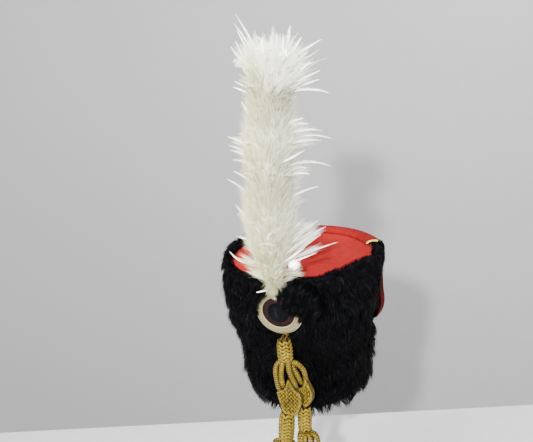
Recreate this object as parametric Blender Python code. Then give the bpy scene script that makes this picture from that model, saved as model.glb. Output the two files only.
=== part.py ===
"""A fur busby: stiff flared body, black fur cover, red cloth crown and bag,
white plume behind a round cockade, and a hanging gold cord ornament.
Metres, +Z up, front towards -Y, origin at the middle of the lower rim."""

import bpy
import bmesh
import numpy as np
from math import cos, pi, radians, sin

# Stiff body, an oval tube below and round above
CAP_HEIGHT = 0.230
RIM_HALF_WIDTH = 0.092
RIM_HALF_DEPTH = 0.101
TOP_RADIUS = 0.124
CAP_WALL = 0.003
CAP_SIDES = 36

SEAT_GAP = 0.0003

# Fur, measured out from the body's wall
FUR_DEPTH = 0.0185
LOCK_HEIGHT = 0.0058
LOCK_COLUMNS = 40
LOCK_ROWS = 18
INWARD_ROWS = 2

# Red cloth
CROWN_CLOTH = 0.0025
CROWN_MARGIN = 0.0025
BAG_CLOTH = 0.003
BAG_MIDDLE = 153.0
BAG_HALF_ANGLE = 37.0
BAG_DROP = 0.162
BAG_STRAIGHT = 0.62
BAG_ROWS = 10
BAG_END_ROWS = 8
BAG_COLUMNS = 10
PIPING_RADIUS = 0.0018

# Cockade, a disc that lies on the fur's sloping front. Its middle is a share of the
# body's height, and its back stands proud of the body's top radius.
COCKADE_RADIUS = 0.038
RING_WIDTH = 0.0115
BAND_WIDTH = 0.009
COCKADE_THICKNESS = 0.0035
COCKADE_SIDE = 0.002
COCKADE_PROUD = 0.009
COCKADE_SHARE = 0.7843
COCKADE_TILT = 8.0
COCKADE_SIDES = 26
COCKADE_CLEAR = 0.016
SEAT_PRESS = 0.0008

# Plume
STEM_RADIUS = 0.0025
PLUME_RADIUS = 0.050
PLUME_STEM = [0.0, 0.030, 0.054]
PLUME_START = 0.074
PLUME_COLUMNS = 12
PLUME_ROWS = 19
LOCK_LEAN = 2.2
PLUME_BACK = 0.0085
PLUME_CLEAR_HEIGHT = 0.030
PARTING_DEPTH = 0.0150
PARTING_ANGLE = 10.0
PARTING_FLOOR = 0.002

# Gold cord ornament
CORD_RADIUS = 0.0038
HANGER_RADIUS = 0.0015
HANGER_SPREAD = 0.0032
PAD_THICKNESS = 0.009
LOOP_RADIUS = 0.0034
STALK_RADIUS = 0.0055

COCKADE_MIDDLE = np.array([COCKADE_SIDE, -(TOP_RADIUS + COCKADE_PROUD), COCKADE_SHARE * CAP_HEIGHT])
COCKADE_OUT = np.array([0.0, -cos(radians(COCKADE_TILT)), -sin(radians(COCKADE_TILT))])
COCKADE_UP = np.array([0.0, -sin(radians(COCKADE_TILT)), cos(radians(COCKADE_TILT))])

# The fur's path from the crown over the rim to the hem:
# share of the body's height, share of the fur's depth
FUR_PATH = np.array([
    (1.0125, -0.60),
    (1.0780, -0.48),
    (1.0935, -0.06),
    (1.0750, 0.33),
    (1.0210, 0.60),
    (0.9340, 0.76),
    (0.8610, 0.83),
    (0.7660, 0.85),
    (0.6700, 0.91),
    (0.5690, 0.96),
    (0.4860, 0.89),
    (0.3910, 0.61),
    (0.2830, 0.51),
    (0.1740, 0.60),
    (0.0650, 0.68),
    (0.0000, 0.60),
    (-0.0260, 0.22),
])
# How flat the fur's roll over the rim is pressed: degrees from the front towards +X, share
ROLL_PRESS = np.array([
    (0, 0.85),
    (35, 0.85),
    (60, 0.50),
    (80, 0.35),
    (104, 0.35),
    (112, 0.70),
    (194, 0.70),
    (206, 0.00),
    (280, 0.00),
    (325, 0.85),
    (360, 0.85),
])

# The bag's path from its seam on the crown over the rim and down outside:
# share of the body's height, distance from the body's wall as a share of the fur's depth
BAG_PATH = np.array([
    (1.0152, -0.57),
    (1.0252, -0.56),
    (1.0370, -0.42),
    (1.0435, -0.11),
    (1.0400, 0.34),
    (1.0196, 0.69),
    (0.9740, 0.92),
    (0.9087, 0.98),
    (0.8087, 1.07),
    (0.6783, 1.23),
    (0.5609, 1.47),
    (0.4739, 1.46),
    (0.3870, 1.24),
    (0.3130, 1.00),
])

# Places from here on are measured from the cockade's middle.
# Plume: centre line, chosen by hand
PLUME_LINE = np.array([
    (-0.0020, 0.0014, 0.0156),
    (-0.0020, -0.0019, 0.0386),
    (-0.0016, -0.0054, 0.0516),
    (-0.0010, -0.0095, 0.0676),
    (-0.0012, -0.0110, 0.0916),
    (0.0000, -0.0095, 0.1396),
    (0.0010, -0.0070, 0.1846),
    (0.0030, -0.0040, 0.2346),
    (0.0075, -0.0005, 0.2846),
    (0.0100, 0.0025, 0.3346),
    (0.0155, 0.0055, 0.3796),
    (0.0180, 0.0070, 0.4196),
])
# Share of the plume's length, core radius and lock reach as shares of its radius,
# and how far the locks point along the stem
PLUME_TIERS = np.array([
    (0.000, 0.000, 0.00, 0.00),
    (0.055, 0.050, 0.00, 0.00),
    (0.085, 0.180, 0.10, -0.50),
    (0.120, 0.320, 0.30, -0.45),
    (0.160, 0.480, 0.45, -0.10),
    (0.230, 0.560, 0.50, 0.15),
    (0.300, 0.560, 0.40, 0.35),
    (0.380, 0.500, 0.25, 0.40),
    (0.440, 0.440, 0.20, 0.40),
    (0.500, 0.480, 0.45, 0.30),
    (0.570, 0.560, 0.50, 0.30),
    (0.640, 0.500, 0.30, 0.40),
    (0.700, 0.400, 0.20, 0.40),
    (0.760, 0.440, 0.45, 0.40),
    (0.850, 0.560, 0.50, 0.45),
    (0.930, 0.480, 0.45, 0.70),
    (1.000, 0.200, 0.30, 1.00),
])

# Slides: top, bottom, radius
SLIDERS = {
    "slider_top": ((0.0084, -0.0125, -0.0411), (0.0090, -0.0125, -0.0744), 0.0115),
    "slider_left": ((0.0043, -0.0110, -0.1703), (-0.0015, -0.0100, -0.2195), 0.0122),
    "slider_right": ((0.0315, -0.0020, -0.1614), (0.0298, -0.0035, -0.2004), 0.0106),
}

# Cords between the slides and the pads, chosen by hand
STRANDS = {
    "strand_left_outer": [
        (0.0016, -0.0125, -0.0770),
        (-0.0058, -0.0140, -0.0839),
        (-0.0082, -0.0160, -0.0954),
        (-0.0072, -0.0155, -0.1124),
        (-0.0054, -0.0148, -0.1244),
    ],
    "strand_left_inner": [
        (0.0066, -0.0193, -0.0760),
        (0.0044, -0.0200, -0.0874),
        (0.0032, -0.0195, -0.1004),
        (0.0028, -0.0180, -0.1139),
    ],
    "strand_mid_left": [
        (0.0146, -0.0192, -0.0754),
        (0.0150, -0.0185, -0.0879),
        (0.0180, -0.0160, -0.1034),
        (0.0218, -0.0120, -0.1174),
    ],
    "strand_mid_right": [
        (0.0072, -0.0044, -0.0778),
        (0.0140, -0.0040, -0.0854),
        (0.0215, -0.0065, -0.0974),
        (0.0258, -0.0062, -0.1069),
        (0.0276, -0.0040, -0.1144),
    ],
    "strand_right": [
        (0.0155, -0.0110, -0.0790),
        (0.0245, -0.0100, -0.0804),
        (0.0320, -0.0080, -0.0874),
        (0.0358, -0.0055, -0.0974),
        (0.0362, -0.0025, -0.1092),
    ],
}

# Pads: middle, turn about the vertical, outline as (across, height) round the middle
PADS = {
    "pad_left": {
        "middle": (0.0120, -0.0130, -0.1404),
        "turn": 0.0,
        "outline": [
            (-0.0005, 0.0325), (0.0050, 0.0240), (0.0098, 0.0155), (0.0160, 0.0105),
            (0.0192, 0.0040), (0.0196, -0.0050), (0.0175, -0.0130), (0.0135, -0.0225),
            (0.0070, -0.0300), (-0.0030, -0.0302), (-0.0110, -0.0285), (-0.0140, -0.0225),
            (-0.0160, -0.0140), (-0.0180, -0.0060), (-0.0200, 0.0030), (-0.0205, 0.0085),
            (-0.0160, 0.0115), (-0.0090, 0.0160), (-0.0045, 0.0240),
        ],
    },
    "pad_right": {
        "middle": (0.0335, -0.0005, -0.1374),
        "turn": -17.0,
        "outline": [
            (0.0025, 0.0270), (0.0095, 0.0180), (0.0148, 0.0060), (0.0140, -0.0050),
            (0.0100, -0.0130), (0.0050, -0.0200), (-0.0010, -0.0236), (-0.0070, -0.0200),
            (-0.0115, -0.0130), (-0.0140, -0.0040), (-0.0135, 0.0040), (-0.0085, 0.0080),
            (-0.0030, 0.0115), (0.0000, 0.0180),
        ],
    },
}

# Cord bunches: the slide they hang from, drop, and each loop's direction and reach
TASSELS = {
    "tassel_left": {
        "slider": "slider_left",
        "drop": 0.038,
        "loops": [(-95, 0.0250), (-45, 0.0210), (5, 0.0190), (48, 0.0150), (135, 0.0140), (-150, 0.0170)],
    },
    "tassel_right": {
        "slider": "slider_right",
        "drop": 0.042,
        "loops": [(128, 0.0180), (-140, 0.0130), (-70, 0.0120), (-18, 0.0170), (32, 0.0220), (80, 0.0250)],
    },
}
# A loop's path: share of its reach, share of the drop
LOOP_PATH = [(0.12, -0.17), (0.45, -0.15), (0.82, -0.20), (1.0, -0.45), (0.93, -0.72), (0.62, -0.93), (0.12, -0.88)]


def material(name, colour, roughness, metallic=0.0):
    mat = bpy.data.materials.new(name)
    mat.use_nodes = True
    shader = mat.node_tree.nodes["Principled BSDF"]
    shader.inputs["Base Color"].default_value = (*colour, 1.0)
    shader.inputs["Roughness"].default_value = roughness
    shader.inputs["Metallic"].default_value = metallic
    mat.diffuse_color = (*colour, 1.0)
    return mat


def add_object(name, points, faces, mat, smooth=False):
    """Makes one object from points and faces, with its faces turned outward."""
    mesh = bpy.data.meshes.new(name)
    mesh.from_pydata([tuple(map(float, p)) for p in points], [], faces)
    shell = bmesh.new()
    shell.from_mesh(mesh)
    bmesh.ops.recalc_face_normals(shell, faces=shell.faces)
    shell.to_mesh(mesh)
    shell.free()
    mesh.materials.append(mat)
    if smooth:
        mesh.shade_smooth()
        mesh.set_sharp_from_angle(angle=radians(40))
    obj = bpy.data.objects.new(name, mesh)
    bpy.context.scene.collection.objects.link(obj)
    return obj


def slide_ends(name):
    """A slide's top and bottom, and its radius."""
    top, bottom, radius = SLIDERS[name]
    return COCKADE_MIDDLE + top, COCKADE_MIDDLE + bottom, radius


class Shell:
    """Collects rings of points and joins them into one closed surface."""

    def __init__(self):
        self.points = []
        self.faces = []

    def ring(self, points):
        start = len(self.points)
        self.points.extend(np.asarray(points, float).reshape(-1, 3))
        return list(range(start, len(self.points)))

    def bridge(self, a, b):
        """Joins two rings of one length, or a ring and a single point."""
        if len(a) == 1:
            self.faces += [(a[0], b[k], b[(k + 1) % len(b)]) for k in range(len(b))]
        elif len(b) == 1:
            self.faces += [(a[k], a[(k + 1) % len(a)], b[0]) for k in range(len(a))]
        else:
            n = len(a)
            self.faces += [(a[k], a[(k + 1) % n], b[(k + 1) % n], b[k]) for k in range(n)]

    def chain(self, rings):
        for a, b in zip(rings, rings[1:]):
            self.bridge(a, b)

    def locks(self, rings, tip, stages=1):
        """Fills staggered rings with diamonds, each drawn out to a tip.
        tip(row, column) gives the tip's place."""
        n = len(rings[0])
        odd = [k % 2 for k in range(len(rings))]
        for i in range(len(rings) - 2):
            for j in range(n):
                left = rings[i + 1][(j - 1 + odd[i]) % n]
                right = rings[i + 1][(j + odd[i]) % n]
                corners = [rings[i][j], right, rings[i + 2][j], left]
                point = np.asarray(tip(i, j), float)
                if stages == 2:
                    middle = np.mean([self.points[c] for c in corners], axis=0)
                    inner = self.ring([
                        middle + (self.points[c] - middle) * 0.55 + (point - middle) * 0.42 for c in corners
                    ])
                    self.bridge(corners, inner)
                    corners = inner
                self.bridge(corners, self.ring([point]))
        for edge, beside in ((0, 1), (len(rings) - 1, len(rings) - 2)):
            for j in range(n):
                other = (j + odd[edge]) % n if edge == 0 else (j if odd[beside] else (j + 1) % n)
                self.faces.append((rings[edge][j], rings[edge][(j + 1) % n], rings[beside][other]))

    def make(self, name, mat, smooth=False):
        return add_object(name, self.points, self.faces, mat, smooth)


def smoothstep(x, low, high):
    t = np.clip((x - low) / (high - low), 0, 1)
    return t * t * (3 - 2 * t)


def resample(path, count, closed=False):
    """Points spaced evenly along a path of named columns."""
    path = np.asarray(path, float)
    if closed:
        path = np.vstack([path, path[:1]])
    length = np.r_[0, np.cumsum(np.linalg.norm(np.diff(path, axis=0), axis=1))]
    at = np.linspace(0, length[-1], count + (1 if closed else 0))
    out = np.stack([np.interp(at, length, path[:, k]) for k in range(path.shape[1])], 1)
    return out[:-1] if closed else out


def smooth_route(points, spacing):
    """A Catmull-Rom curve through the points, read every spacing."""
    p = np.asarray(points, float)
    ends = np.vstack([2 * p[0] - p[1], p, 2 * p[-1] - p[-2]])
    fine = []
    for k in range(len(p) - 1):
        a, b, c, d = ends[k:k + 4]
        t = np.linspace(0, 1, 12, endpoint=False)[:, None]
        fine.append(0.5 * (2 * b + (c - a) * t + (2 * a - 5 * b + 4 * c - d) * t**2 + (3 * b - a - 3 * c + d) * t**3))
    fine = np.vstack(fine + [p[-1:]])
    total = np.linalg.norm(np.diff(fine, axis=0), axis=1).sum()
    return resample(fine, max(3, int(round(total / spacing)) + 1))


def tube_rings(shell, line, radius, sides, closed_ends=True):
    """Rings square to a line, carried along it without twist."""
    line = np.asarray(line, float)
    tangent = np.gradient(line, axis=0)
    tangent /= np.linalg.norm(tangent, axis=1)[:, None]
    across = np.cross(tangent[0], (0.3, 0.2, 0.9))
    rings = []
    angle = np.arange(sides) * 2 * pi / sides
    for point, along in zip(line, tangent):
        across = across - along * across.dot(along)
        across /= np.linalg.norm(across)
        other = np.cross(along, across)
        ring = point + radius * (np.cos(angle)[:, None] * across + np.sin(angle)[:, None] * other)
        rings.append(shell.ring(ring))
    if closed_ends:
        rings = [shell.ring([line[0]])] + rings + [shell.ring([line[-1]])]
    shell.chain(rings)


def body_axes(z):
    """Half width and half depth of the body's outside at a height."""
    share = np.clip(z / CAP_HEIGHT, -0.2, 1.0)
    return (
        RIM_HALF_WIDTH + (TOP_RADIUS - RIM_HALF_WIDTH) * share,
        RIM_HALF_DEPTH + (TOP_RADIUS - RIM_HALF_DEPTH) * share,
    )


def round_body(angle, z, out):
    """A point that lies out from the body's wall; angle 0 is the front, +X is 90 degrees."""
    wide, deep = body_axes(z)
    return np.array([(wide + out) * sin(angle), -(deep + out) * cos(angle), z])


def oval(z, out, sides):
    return [round_body(2 * pi * k / sides, z, out) for k in range(sides)]


def from_bag(angle):
    """Degrees between a direction and the bag's middle."""
    return abs((np.degrees(angle) - BAG_MIDDLE + 180) % 360 - 180)


def behind_cockade(point):
    """Presses the fur back to the cockade's seat, less and less beyond its edge."""
    if point[1] > 0:
        return point
    depth = (point - COCKADE_MIDDLE).dot(COCKADE_OUT)
    flat = point - COCKADE_MIDDLE - COCKADE_OUT * depth
    beyond = np.linalg.norm(flat) - COCKADE_RADIUS
    room = -SEAT_PRESS + max(0.0, beyond - COCKADE_CLEAR / 2) * 0.25
    return point - COCKADE_OUT * max(0.0, depth - room)


def roll_press(angle):
    """How flat the roll over the rim is here: it is combed down in front and lies under the bag."""
    return np.interp(np.degrees(angle) % 360, ROLL_PRESS[:, 0], ROLL_PRESS[:, 1])


def fur_core(angle, z, out):
    """The fur's inner mass: pressed over the rim, parted for the plume's stem and pressed by the cockade."""
    base = FUR_PATH[0, 0] * CAP_HEIGHT
    if z > base:
        z = base + (z - base) * (1 - roll_press(angle))
    if z >= base:
        out = max(out, out * (1 - roll_press(angle)))
    degrees = abs((np.degrees(angle) + 180) % 360 - 180)
    foot = COCKADE_MIDDLE[2]
    parting = np.exp(-((degrees / PARTING_ANGLE) ** 2)) * smoothstep(z, foot, foot + 0.3 * COCKADE_RADIUS)
    out = max(out - PARTING_DEPTH * parting, min(out, PARTING_FLOOR))
    return behind_cockade(round_body(angle, z, out))


def before_fur(point):
    """Keeps the plume's foot in front of the fur's parting and above the cockade."""
    point = np.array(point, float)
    point[2] = max(point[2], COCKADE_MIDDLE[2] + COCKADE_RADIUS + COCKADE_THICKNESS)
    side = max(0.0, abs(point[0]) - 0.6 * PLUME_BACK)
    above = max(0.0, point[2] - CAP_HEIGHT - PLUME_CLEAR_HEIGHT)
    point[1] = min(point[1], 1.5 * above - (TOP_RADIUS + PLUME_BACK + 0.4 * side))
    return point


def lock_room(point, angle):
    """How far a lock may rise here: 1 is free, 0 is pressed flat."""
    free = smoothstep(from_bag(angle), BAG_HALF_ANGLE + 5, BAG_HALF_ANGLE + 13)
    if point[2] < CAP_HEIGHT - BAG_DROP * 0.95:
        free = 1.0
    if point[2] > CAP_HEIGHT:
        free *= 1 - roll_press(angle)
    flat = point - COCKADE_MIDDLE
    flat = flat - COCKADE_OUT * flat.dot(COCKADE_OUT)
    if point[1] < 0:
        free *= smoothstep(np.linalg.norm(flat), COCKADE_RADIUS + 0.4 * COCKADE_CLEAR, COCKADE_RADIUS + COCKADE_CLEAR)
        if point[2] > COCKADE_MIDDLE[2]:
            free *= smoothstep(abs(point[0]), 0.40 * PLUME_RADIUS, 0.68 * PLUME_RADIUS)
        top, bottom, radius = slide_ends("slider_top")
        if bottom[2] - 2.5 * radius < point[2] < top[2] + 2 * radius:
            free *= smoothstep(abs(point[0] - top[0]), 1.4 * radius, 2.2 * radius)
    return free


def make_cap_body(mat):
    shell = Shell()
    inside = [
        shell.ring([(0, 0, CAP_HEIGHT - CAP_WALL)]),
        shell.ring(oval(CAP_HEIGHT - CAP_WALL, -CAP_WALL, CAP_SIDES)),
        shell.ring(oval(CAP_HEIGHT * 0.5, -CAP_WALL, CAP_SIDES)),
        shell.ring(oval(0.0, -CAP_WALL, CAP_SIDES)),
    ]
    outside = [
        shell.ring(oval(0.0, 0.0, CAP_SIDES)),
        shell.ring(oval(CAP_HEIGHT * 0.5, 0.0, CAP_SIDES)),
        shell.ring(oval(CAP_HEIGHT, 0.0, CAP_SIDES)),
        shell.ring([(0, 0, CAP_HEIGHT)]),
    ]
    shell.chain(inside + outside)
    return shell.make("cap_body", mat, smooth=True)


def make_fur(mat):
    """Rings staggered by half a column run from the crown over the rim to the hem,
    then plain rings run back up between the fur and the body."""
    rng = np.random.default_rng(7)
    shell = Shell()
    path = resample(FUR_PATH * (CAP_HEIGHT, FUR_DEPTH), LOCK_ROWS + 1)
    step = 2 * pi / LOCK_COLUMNS
    rings, places = [], []
    for i, (z, out) in enumerate(path):
        angles = (np.arange(LOCK_COLUMNS) + 0.5 * (i % 2)) * step
        ring = np.array([fur_core(a, z, out) for a in angles])
        places.append((angles, ring))
        rings.append(shell.ring(ring))

    def tip(i, j):
        inward = i < INWARD_ROWS
        angles, ring = places[i if inward else i + 2]
        middle = (places[i][1][j] + places[i + 2][1][j]) / 2
        along = ring[j] - middle
        reach = rng.uniform(0.75, 1.25)
        rise = rng.uniform(0.65, 1.25) * LOCK_HEIGHT
        sway = rng.uniform(-0.35, 0.35) * step
        free = lock_room(ring[j], angles[j])
        outward = round_body(angles[j] + sway * free, ring[j][2], 1.0) - round_body(angles[j] + sway * free, ring[j][2], 0.0)
        slope = np.clip((middle[2] - CAP_HEIGHT) / (0.06 * CAP_HEIGHT), 0, 1)
        outward = outward * (1 - slope) + np.array([0, 0, 1.0]) * slope
        turn = np.array([cos(angles[j]), sin(angles[j]), 0]) * sway * TOP_RADIUS
        point = middle + along * (0.55 + 0.55 * reach * free) + (outward * rise + turn) * free
        return behind_cockade(point)

    shell.locks(rings, tip)
    back = [
        shell.ring(oval(-SEAT_GAP, SEAT_GAP * 2, LOCK_COLUMNS)),
        shell.ring(oval(CAP_HEIGHT * 0.5, SEAT_GAP * 3, LOCK_COLUMNS)),
        shell.ring(oval(CAP_HEIGHT, SEAT_GAP * 3, LOCK_COLUMNS)),
        shell.ring(oval(CAP_HEIGHT + CROWN_CLOTH + 2 * SEAT_GAP, SEAT_GAP * 3, LOCK_COLUMNS)),
    ]
    shell.chain([rings[-1]] + back + [rings[0]])
    return shell.make("fur_cover", mat)


def make_crown(mat):
    shell = Shell()
    radius = -CROWN_MARGIN
    low, high = CAP_HEIGHT + SEAT_GAP, CAP_HEIGHT + SEAT_GAP + CROWN_CLOTH
    shell.chain([
        shell.ring([(0, 0, low)]),
        shell.ring(oval(low, radius, CAP_SIDES)),
        shell.ring(oval(high, radius, CAP_SIDES)),
        shell.ring([(0, 0, high)]),
    ])
    return shell.make("crown_cloth", mat)


def bag_sheet():
    """The bag's inner face as a grid: rows along the drop, columns across.
    Its sides run straight down and then close in a half ellipse."""
    path = resample(BAG_PATH * (CAP_HEIGHT, FUR_DEPTH), 160)
    length = np.r_[0, np.cumsum(np.linalg.norm(np.diff(path, axis=0), axis=1))]
    turn = np.radians(np.linspace(0, 84, BAG_END_ROWS + 1))
    down = np.r_[np.linspace(0, BAG_STRAIGHT, BAG_ROWS, endpoint=False), BAG_STRAIGHT + (1 - BAG_STRAIGHT) * np.sin(turn)]
    width = np.r_[np.ones(BAG_ROWS), np.cos(turn)]
    rows = []
    for u, share in zip(down, width):
        z = np.interp(length[-1] * u, length, path[:, 0])
        out = np.interp(length[-1] * u, length, path[:, 1])
        angles = np.radians(BAG_MIDDLE + BAG_HALF_ANGLE * share * np.linspace(-1, 1, BAG_COLUMNS + 1))
        rows.append([round_body(angle, z, out) for angle in angles])
    return np.array(rows)


def make_bag(mat):
    """A grid thickened by the cloth, away from the fur."""
    grid = bag_sheet()
    rows, columns = grid.shape[:2]
    down = np.gradient(grid, axis=0)
    across = np.gradient(grid, axis=1)
    normal = np.cross(across, down)
    normal /= np.linalg.norm(normal, axis=2)[..., None]
    normal *= np.sign(normal[-1, columns // 2].dot(grid[-1, columns // 2] * (1, 1, 0)))
    outside = grid + normal * BAG_CLOTH
    shell = Shell()
    rings = []
    for inner, outer in zip(grid, outside):
        rings.append(shell.ring(np.vstack([inner, outer[::-1]])))
    shell.chain(rings)
    for ring in (rings[0], rings[-1]):
        n = len(ring)
        for k in range(columns - 1):
            shell.faces.append((ring[k], ring[k + 1], ring[n - 2 - k], ring[n - 1 - k]))
    shell.make("bag", mat, smooth=True)
    return (grid + outside) / 2, normal


def make_piping(middle, normal, mat):
    """A thin cord beside the bag's two sides and round its end, mitred at each point."""
    def border(grid):
        return np.vstack([grid[1:, 0], grid[-1, 1:-1], grid[1:, -1][::-1]])

    edge, face = border(middle), border(normal)
    run = np.diff(edge, axis=0)
    beside = np.cross(run, (face[1:] + face[:-1]) / 2)
    beside /= np.linalg.norm(beside, axis=1)[:, None]
    before, after = np.vstack([beside[:1], beside]), np.vstack([beside, beside[-1:]])
    mitre = before + after
    mitre /= (1 + (before * after).sum(1))[:, None]
    inward = middle[len(middle) // 2, 1] - middle[len(middle) // 2, 0]
    mitre *= -np.sign(mitre[len(middle) // 2].dot(inward))
    shell = Shell()
    tube_rings(shell, edge + mitre * (PIPING_RADIUS + 2 * SEAT_GAP), PIPING_RADIUS, 5)
    return shell.make("bag_piping", mat, smooth=True)


def turned(name, profile, mat):
    """Turns a profile of (radius, height) about the cockade's axis."""
    side = np.cross(COCKADE_UP, COCKADE_OUT)
    shell = Shell()
    rings = []
    for radius, height in profile:
        middle = COCKADE_MIDDLE + COCKADE_OUT * height
        if radius == 0:
            rings.append(shell.ring([middle]))
            continue
        angle = np.arange(COCKADE_SIDES) * 2 * pi / COCKADE_SIDES
        rings.append(shell.ring(
            middle + radius * (np.sin(angle)[:, None] * side - np.cos(angle)[:, None] * COCKADE_UP)
        ))
    shell.chain(rings if profile[0][0] == 0 else rings + rings[:1])
    return shell.make(name, mat, smooth=True)


def make_cockade(ivory, maroon, blue_black):
    thick = COCKADE_THICKNESS
    ring_inner = COCKADE_RADIUS - RING_WIDTH
    band_outer = ring_inner - SEAT_GAP
    band_inner = band_outer - BAND_WIDTH
    middle = band_inner - SEAT_GAP
    turned("cockade_ring", [
        (ring_inner, 0.0), (COCKADE_RADIUS, 0.0), (COCKADE_RADIUS, thick * 0.6),
        ((ring_inner + COCKADE_RADIUS) / 2, thick), (ring_inner, thick * 0.75),
    ], ivory)
    turned("cockade_band", [
        (band_inner, 0.0), (band_outer, 0.0), (band_outer, thick * 0.55), (band_inner, thick * 0.85),
    ], maroon)
    turned("cockade_centre", [
        (0, 0.0), (middle, 0.0), (middle, thick * 0.85), (middle * 0.6, thick * 1.25), (0, thick * 1.4),
    ], blue_black)


def make_plume(mat):
    """Locks in tiers round a core that follows the stem."""
    rng = np.random.default_rng(11)
    line = smooth_route(COCKADE_MIDDLE + PLUME_LINE, 0.08 * PLUME_RADIUS)
    length = np.r_[0, np.cumsum(np.linalg.norm(np.diff(line, axis=0), axis=1))]
    total = length[-1]
    shares = np.r_[PLUME_STEM, np.linspace(PLUME_START, 1.0, PLUME_ROWS + 1)]
    stem = len(PLUME_STEM)

    def at(share):
        return np.array([np.interp(share * total, length, line[:, k]) for k in range(3)])

    def tier(share, column):
        return np.interp(share, PLUME_TIERS[:, 0], PLUME_TIERS[:, column])

    def frame(share):
        along = at(min(1, share + 0.01)) - at(max(0, share - 0.01))
        along /= np.linalg.norm(along)
        side = np.cross(along, (0, 1, 0))
        side /= np.linalg.norm(side)
        return along, side, np.cross(along, side)

    shell = Shell()
    rings, angles = [], []
    for i, share in enumerate(shares):
        row = i - stem
        turn = (np.arange(PLUME_COLUMNS) + (0.5 * (row % 2) if row > 0 else 0)) * 2 * pi / PLUME_COLUMNS
        along, side, other = frame(share)
        radius = max(STEM_RADIUS, tier(share, 1) * PLUME_RADIUS)
        ring = at(share) + radius * (np.cos(turn)[:, None] * side + np.sin(turn)[:, None] * other)
        rings.append(shell.ring([before_fur(point) if row >= 0 else point for point in ring]))
        angles.append(turn)

    def tip(i, j):
        share = (shares[i + stem] + shares[i + stem + 2]) / 2
        along, side, other = frame(share)
        turn = angles[i + stem][j] + rng.uniform(-0.2, 0.2)
        outward = cos(turn) * side + sin(turn) * other
        reach = tier(share, 2) * PLUME_RADIUS * rng.uniform(0.6, 1.5)
        lean = tier(share, 3) * rng.uniform(0.6, 1.2)
        core = at(share) + outward * tier(share, 1) * PLUME_RADIUS
        return before_fur(core + outward * (reach + 0.02 * PLUME_RADIUS) + along * reach * LOCK_LEAN * lean)

    shell.locks(rings[stem:], tip, stages=2)
    shell.chain([shell.ring([at(0)])] + rings[:stem + 1])
    shell.bridge(rings[-1], shell.ring([at(1.0) + frame(1.0)[0] * 0.24 * PLUME_RADIUS]))
    return shell.make("plume", mat)


def make_hanger(mat):
    """A bar under the cockade's edge, with two legs that run forward to the slide."""
    bottom = COCKADE_MIDDLE - COCKADE_UP * COCKADE_RADIUS + COCKADE_OUT * COCKADE_THICKNESS * 0.35
    top = slide_ends("slider_top")[0]
    drop = np.array([0, 0, -(HANGER_RADIUS + SEAT_GAP)])
    rise = np.array([0, 0, HANGER_RADIUS + SEAT_GAP])
    middle = np.array([top[0] - HANGER_SPREAD / 2, 0, 0])
    bar = bottom * (0, 1, 1) + middle + drop
    leg = top * (0, 1, 1) + middle + rise - (0, 0.7 * HANGER_RADIUS, 0)
    knee = (bar + leg) / 2 + (0, 0, 0.4 * HANGER_RADIUS)
    side = np.array([HANGER_SPREAD, 0, 0])
    route = [leg - side, knee - side, bar - side * 0.8, bar + side * 0.8, knee + side, leg + side]
    shell = Shell()
    tube_rings(shell, resample(smooth_route(route, 1.3 * HANGER_RADIUS), 12), HANGER_RADIUS, 6)
    return shell.make("hanger_loop", mat, smooth=True)


def make_slider(name, mat):
    """A barrel of plaited cord: rows of small raised diamonds."""
    top, bottom, radius = slide_ends(name)
    columns, rows = 9, 8
    along = bottom - top
    axis = along / np.linalg.norm(along)
    side = np.cross(axis, (0, 1, 0))
    side /= np.linalg.norm(side)
    other = np.cross(axis, side)
    shell = Shell()
    shares = np.linspace(0, 1, rows + 1)
    barrel = 0.80 + 0.12 * np.sin(pi * shares)

    def place(share, turn, scale):
        return top + along * share + radius * scale * (cos(turn) * side + sin(turn) * other)

    rings = []
    for i, share in enumerate(shares):
        turns = (np.arange(columns) + 0.5 * (i % 2)) * 2 * pi / columns
        rings.append(shell.ring([place(share, t, barrel[i]) for t in turns]))

    def tip(i, j):
        turn = (j + 0.5 * (i % 2)) * 2 * pi / columns
        return place(shares[i + 1], turn, barrel[i + 1] + 0.12)

    shell.locks(rings, tip)
    shell.bridge(shell.ring([top]), rings[0])
    shell.bridge(rings[-1], shell.ring([bottom]))
    return shell.make(name, mat)


def make_pad(name, mat):
    """A flat woven pad: a thick corded border round a lattice that lies a little lower."""
    pad = PADS[name]
    middle = COCKADE_MIDDLE + pad["middle"]
    across = np.array([cos(radians(pad["turn"])), sin(radians(pad["turn"])), 0.0])
    up = np.array([0, 0, 1.0])
    front = np.cross(across, up)
    outline = resample(pad["outline"], 24, closed=True)
    half = PAD_THICKNESS / 2
    shell = Shell()

    def ring(scale, depth):
        return shell.ring([middle + (across * x + up * y) * scale + front * depth for x, y in outline])

    def centre(depth):
        return shell.ring([middle + front * depth])

    shell.chain([
        centre(half * 0.55), ring(0.40, half * 0.75), ring(0.72, half * 0.55), ring(0.86, half),
        ring(1.0, half * 0.45), ring(1.0, -half * 0.45), ring(0.86, -half),
        ring(0.72, -half * 0.55), ring(0.40, -half * 0.75), centre(-half * 0.55),
    ])
    return shell.make(name, mat, smooth=True)


def make_strand(name, mat):
    curve = bpy.data.curves.new(name, "CURVE")
    curve.dimensions = "3D"
    curve.bevel_depth = CORD_RADIUS
    curve.bevel_resolution = 2
    curve.use_fill_caps = True
    route = COCKADE_MIDDLE + smooth_route(STRANDS[name], CORD_RADIUS * 2 * 1.5)
    spline = curve.splines.new("POLY")
    spline.points.add(len(route) - 1)
    for point, place in zip(spline.points, route):
        point.co = (*place, 1.0)
    curve.materials.append(mat)
    obj = bpy.data.objects.new(name, curve)
    bpy.context.scene.collection.objects.link(obj)
    return obj


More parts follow.
